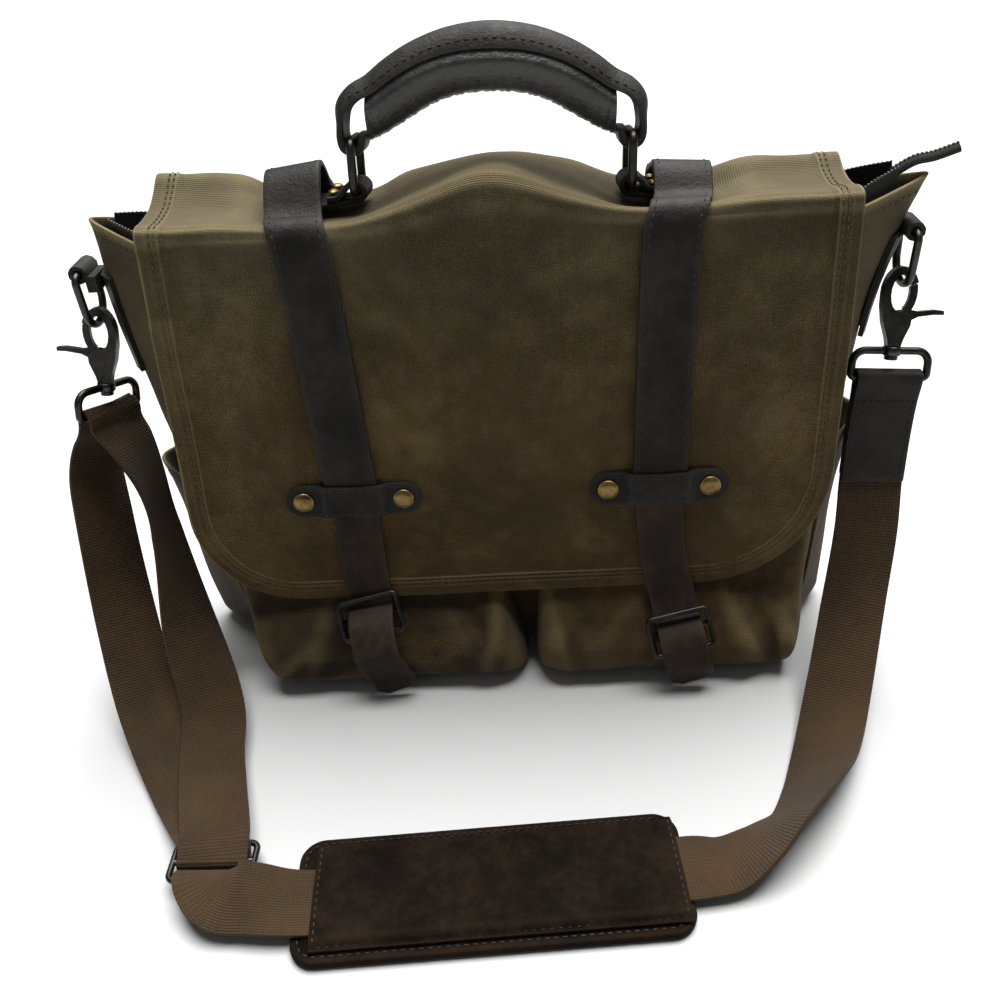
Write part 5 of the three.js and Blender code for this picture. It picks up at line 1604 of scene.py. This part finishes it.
def make_handle():
    half_width = HANDLE_WIDTH / 2
    rows, spots = handle_route(HANDLE_HALF, 8)
    shares = np.sin(np.linspace(-math.pi / 2, math.pi / 2, 17))
    rings, runs = [], ([], [])
    for order, spot in spots:
        dome = max(0.0, smooth_value(rows, "order", "dome", order))
        wall = smooth_value(rows, "order", "wall", order)
        thick = wall / 2 * np.sqrt(1 - np.abs(shares) ** 10)
        middle = dome * (1 - shares**2)
        top = [(v * half_width, b) for v, b in zip(shares[::-1], (middle + thick)[::-1])]
        under = [(v * half_width, b) for v, b in zip(shares[1:-1], (middle - thick)[1:-1])]
        rings.append([on_handle(spot.at + spot.across * a + spot.up * b) for a, b in [*top, *under]])
        for run, v in zip(runs, (-0.84, 0.84)):
            if dome > 6.5:
                lift = dome * (1 - v * v) + wall / 2 + 0.1
                at = spot.at + spot.across * (v * half_width) + spot.up * lift
                out = unit(spot.up + spot.across * (2 * dome * v / half_width))
                run.append((on_handle(at), HANDLE_TURN_MM[:3, :3] @ out))
    dressed("handle_strap", loft(rings), "dark_leather")
    stitched("handle_stitches", runs, "dark_thread", pitch=4.6)

    rows, spots = handle_route(ROLL_HALF, 9)
    under = LEATHER / 2 + GAP + 0.25
    shoulder = -under - 0.7
    wide = ROLL_HALF_WIDTH
    rings = []
    for order, spot in spots:
        dome = smooth_value(rows, "order", "dome", order)
        depth = smooth_value(rows, "order", "depth", order)
        upright = smooth_value(rows, "order", "upright", order)
        up = unit(spot.up * (1 - upright) + UPWARD * upright)
        corners = [
            (wide, -0.28 * depth), (wide - 1.2, shoulder),
            *((v * half_width, dome * (1 - v * v) - under) for v in (0.6, 0, -0.6)),
            (1.2 - wide, shoulder), (-wide, -0.28 * depth), (-0.83 * wide, -0.66 * depth),
            (-0.38 * wide, -depth), (0.38 * wide, -depth), (0.83 * wide, -0.66 * depth),
        ]
        ring = []
        for a, b in closed_curve(corners, 48):
            low = smooth_step(-b, 3, 9)
            wrinkles = 0.012 * math.sin(order * 31 + 0.16 * a) + 0.01 * math.sin(order * 13 + 0.3 * a)
            crease = 1 + low * wrinkles
            ring.append(on_handle(spot.at + spot.across * a * crease + up * b * crease))
        rings.append(ring)
    piece = dressed("handle_roll", loft(rings), "roll_leather")

    for name, side in (("left", -1), ("right", 1)):
        outline = rounded_outline(RING_HALF_LENGTH, RING_BAR_PITCH, 0, 4.5)
        ring = loft(wire_rings(outline, RING_WIRE), closed=True)
        stand = HANDLE_TURN @ (moved((side * HANDLE_HALF_SPAN, 0, 0)) @ turned(90, "Z"))
        dressed(f"handle_ring_{name}", placed(ring, stand), "gunmetal")


# A handle tab from its sewn end round the ring's low bar: place from the ring, height and share of the lean
TAB_PATH = table(
    "out z lean",
    (37, -5.4, 0), (26, -5.4, 0), (15, -5.3, 0.3), (6, -4.8, 0.8), (0, -4.5, 1),
    (-3.15, -3.2, 1), (-4.55, 0, 1), (-3.2, 3.25, 1), (0, 4.55, 1), (4, 3, 0.9),
    (7, 0.2, 0.7), (10, -1.7, 0.5), (15.5, -2, 0.3),
)
TAB_RIVET_SLOPE = 0.06


def make_handle_tabs():
    for name, side, low_bar in (("left", -1, RING_LOW_BAR), ("right", 1, RING_LOW_BAR - RING_DROP)):
        rows = []
        for row in TAB_PATH:
            rows.append({
                "x": HANDLE_CENTRE + side * (HANDLE_HALF_SPAN + row["out"]),
                "y": 1,
                "z": low_bar + row["z"],
                "heading": 90,
                "rise": -HANDLE_LEAN * row["lean"],
            })
        stations = route(rows, 7)
        band(f"handle_tab_{name}", stations, HANDLE_TAB_WIDTH, LEATHER, "dark_leather")
        x = HANDLE_CENTRE + side * (HANDLE_HALF_SPAN + 12)
        out = unit(np.array((0, TAB_RIVET_SLOPE, 1)))
        for end, y in (("a", -5.5), ("b", 7.5)):
            at = np.array((x, y, low_bar + 0.6 - (y - 1) * TAB_RIVET_SLOPE))
            rivet(f"tab_rivet_{name}_{end}", TAB_RIVET_RADIUS, TAB_RIVET_HEIGHT, at, out)


# Zip


ZIP_ROWS = table(
    "x y z heading rise",
    (-203, -8, 278, 0, 90),
    (-190, -17, 275, 0, 90),
    (-176, -24.3, 271, 0, 90),
    (-160, -25.2, 269, 0, 90),
    (0, -25.4, 269, 0, 90),
    (164, -25.2, 270, 0, 90),
    (180, -24, 272, 0, 90),
    (194, -16.5, 278, 0, 90),
    (210, -8, 283, 0, 90),
)


def make_zip():
    back_rows = [{**row, "y": -row["y"] - 7} for row in ZIP_ROWS]
    for name, rows in (("front", ZIP_ROWS), ("back", back_rows)):
        stations = route(rows, 12)
        band(f"zip_tape_{name}", stations, ZIP_WIDTH, ZIP_WALL, "zip", 6, edge=0.3)
        run = [(s.at + s.across * 7.2, s.across) for s in stations]
        stitched(f"zip_teeth_{name}", [run], "gunmetal", 1.5, 2.2, 2.2)
    tail_rows = table(
        "x y z heading",
        (207.5, -3.5, 285.6, 90),
        (218, -3.5, 291.4, 90),
        (227, -3.6, 293, 90),
        (239, -4, 297, 90),
    )
    spots = route(tail_rows, 12)
    rings = [ring_round(spot.at, spot.across, spot.up, 3.7, 2.5, 20) for spot in spots]
    dressed("zip_tail", loft(rings), "zip")
    run = [(spot.at + spot.up * 2.5, spot.up) for spot in spots]
    stitched("zip_tail_teeth", [run], "gunmetal", 1.5, 2.6, 2.2)


# Fittings of the shoulder strap on the gussets

# Section of the swivel's round boss: radius and height about the loop's top bar
BOSS_PROFILE = ((2.6, -2.6), (4.4, -2.6), (5, -2), (5, 2), (4.4, 2.5), (2.6, 2.5), (2.6, -2.6))


def make_side_fittings():
    for piece in SIDE_PIECES:
        name, side = piece.name, piece.side
        polished(f"side_tab_{name}", 0.7, "dark_leather", sharp=55)
        proud = GAP + 0.8 + LEATHER + 0.1
        runs = []
        for v in (-0.28, 0.28):
            out = np.array((side, v, 0.0))
            runs.append([(gusset_point(side, v, z, 0, proud), out) for z in np.linspace(197, 244, 20)])
        stitched(f"side_tab_stitches_{name}", runs, "dark_thread")

        bend = 13.0
        top = rounded_outline(D_RING_HALF_WIDTH, 0, -D_RING_HEIGHT, 4, 6)[:14]
        low = []
        for angle in np.radians(np.linspace(190, 350, 24)):
            x = (D_RING_HALF_WIDTH - 1) * math.cos(angle)
            low.append((x, -D_RING_HEIGHT + bend + bend * math.sin(angle)))
        ring = loft(wire_rings([*top, *low], D_RING_WIRE), closed=True)
        dressed(f"d_ring_{name}", placed(ring, moved(piece.bar) @ turned(90, "Z")), "gunmetal")

        polished(f"clasp_body_{name}", 1.3, "gunmetal")
        polished(f"clasp_gate_{name}", 0.9, "gunmetal", f"gate_{name}")

        outline = rounded_outline(LOOP_HALF_WIDTH, LOOP_BAR_AT, LOOP_BAR_AT - LOOP_HEIGHT, 7, 8, 2.4)
        wire = loft(wire_rings(outline, LOOP_WIRE), closed=True)
        boss = spun([(radius, LOOP_BAR_AT + lift) for radius, lift in BOSS_PROFILE])
        stand = hang_matrix(piece) @ turned(-piece.turn, "Z")
        dressed(f"swivel_loop_{name}", placed(joined(wire, boss), stand), "gunmetal")


make_body()
make_side_pockets()
make_front_pockets()
make_flap()
make_straps()
make_keepers()
make_billets()
make_handle()
make_handle_tabs()
make_zip()
make_side_fittings()
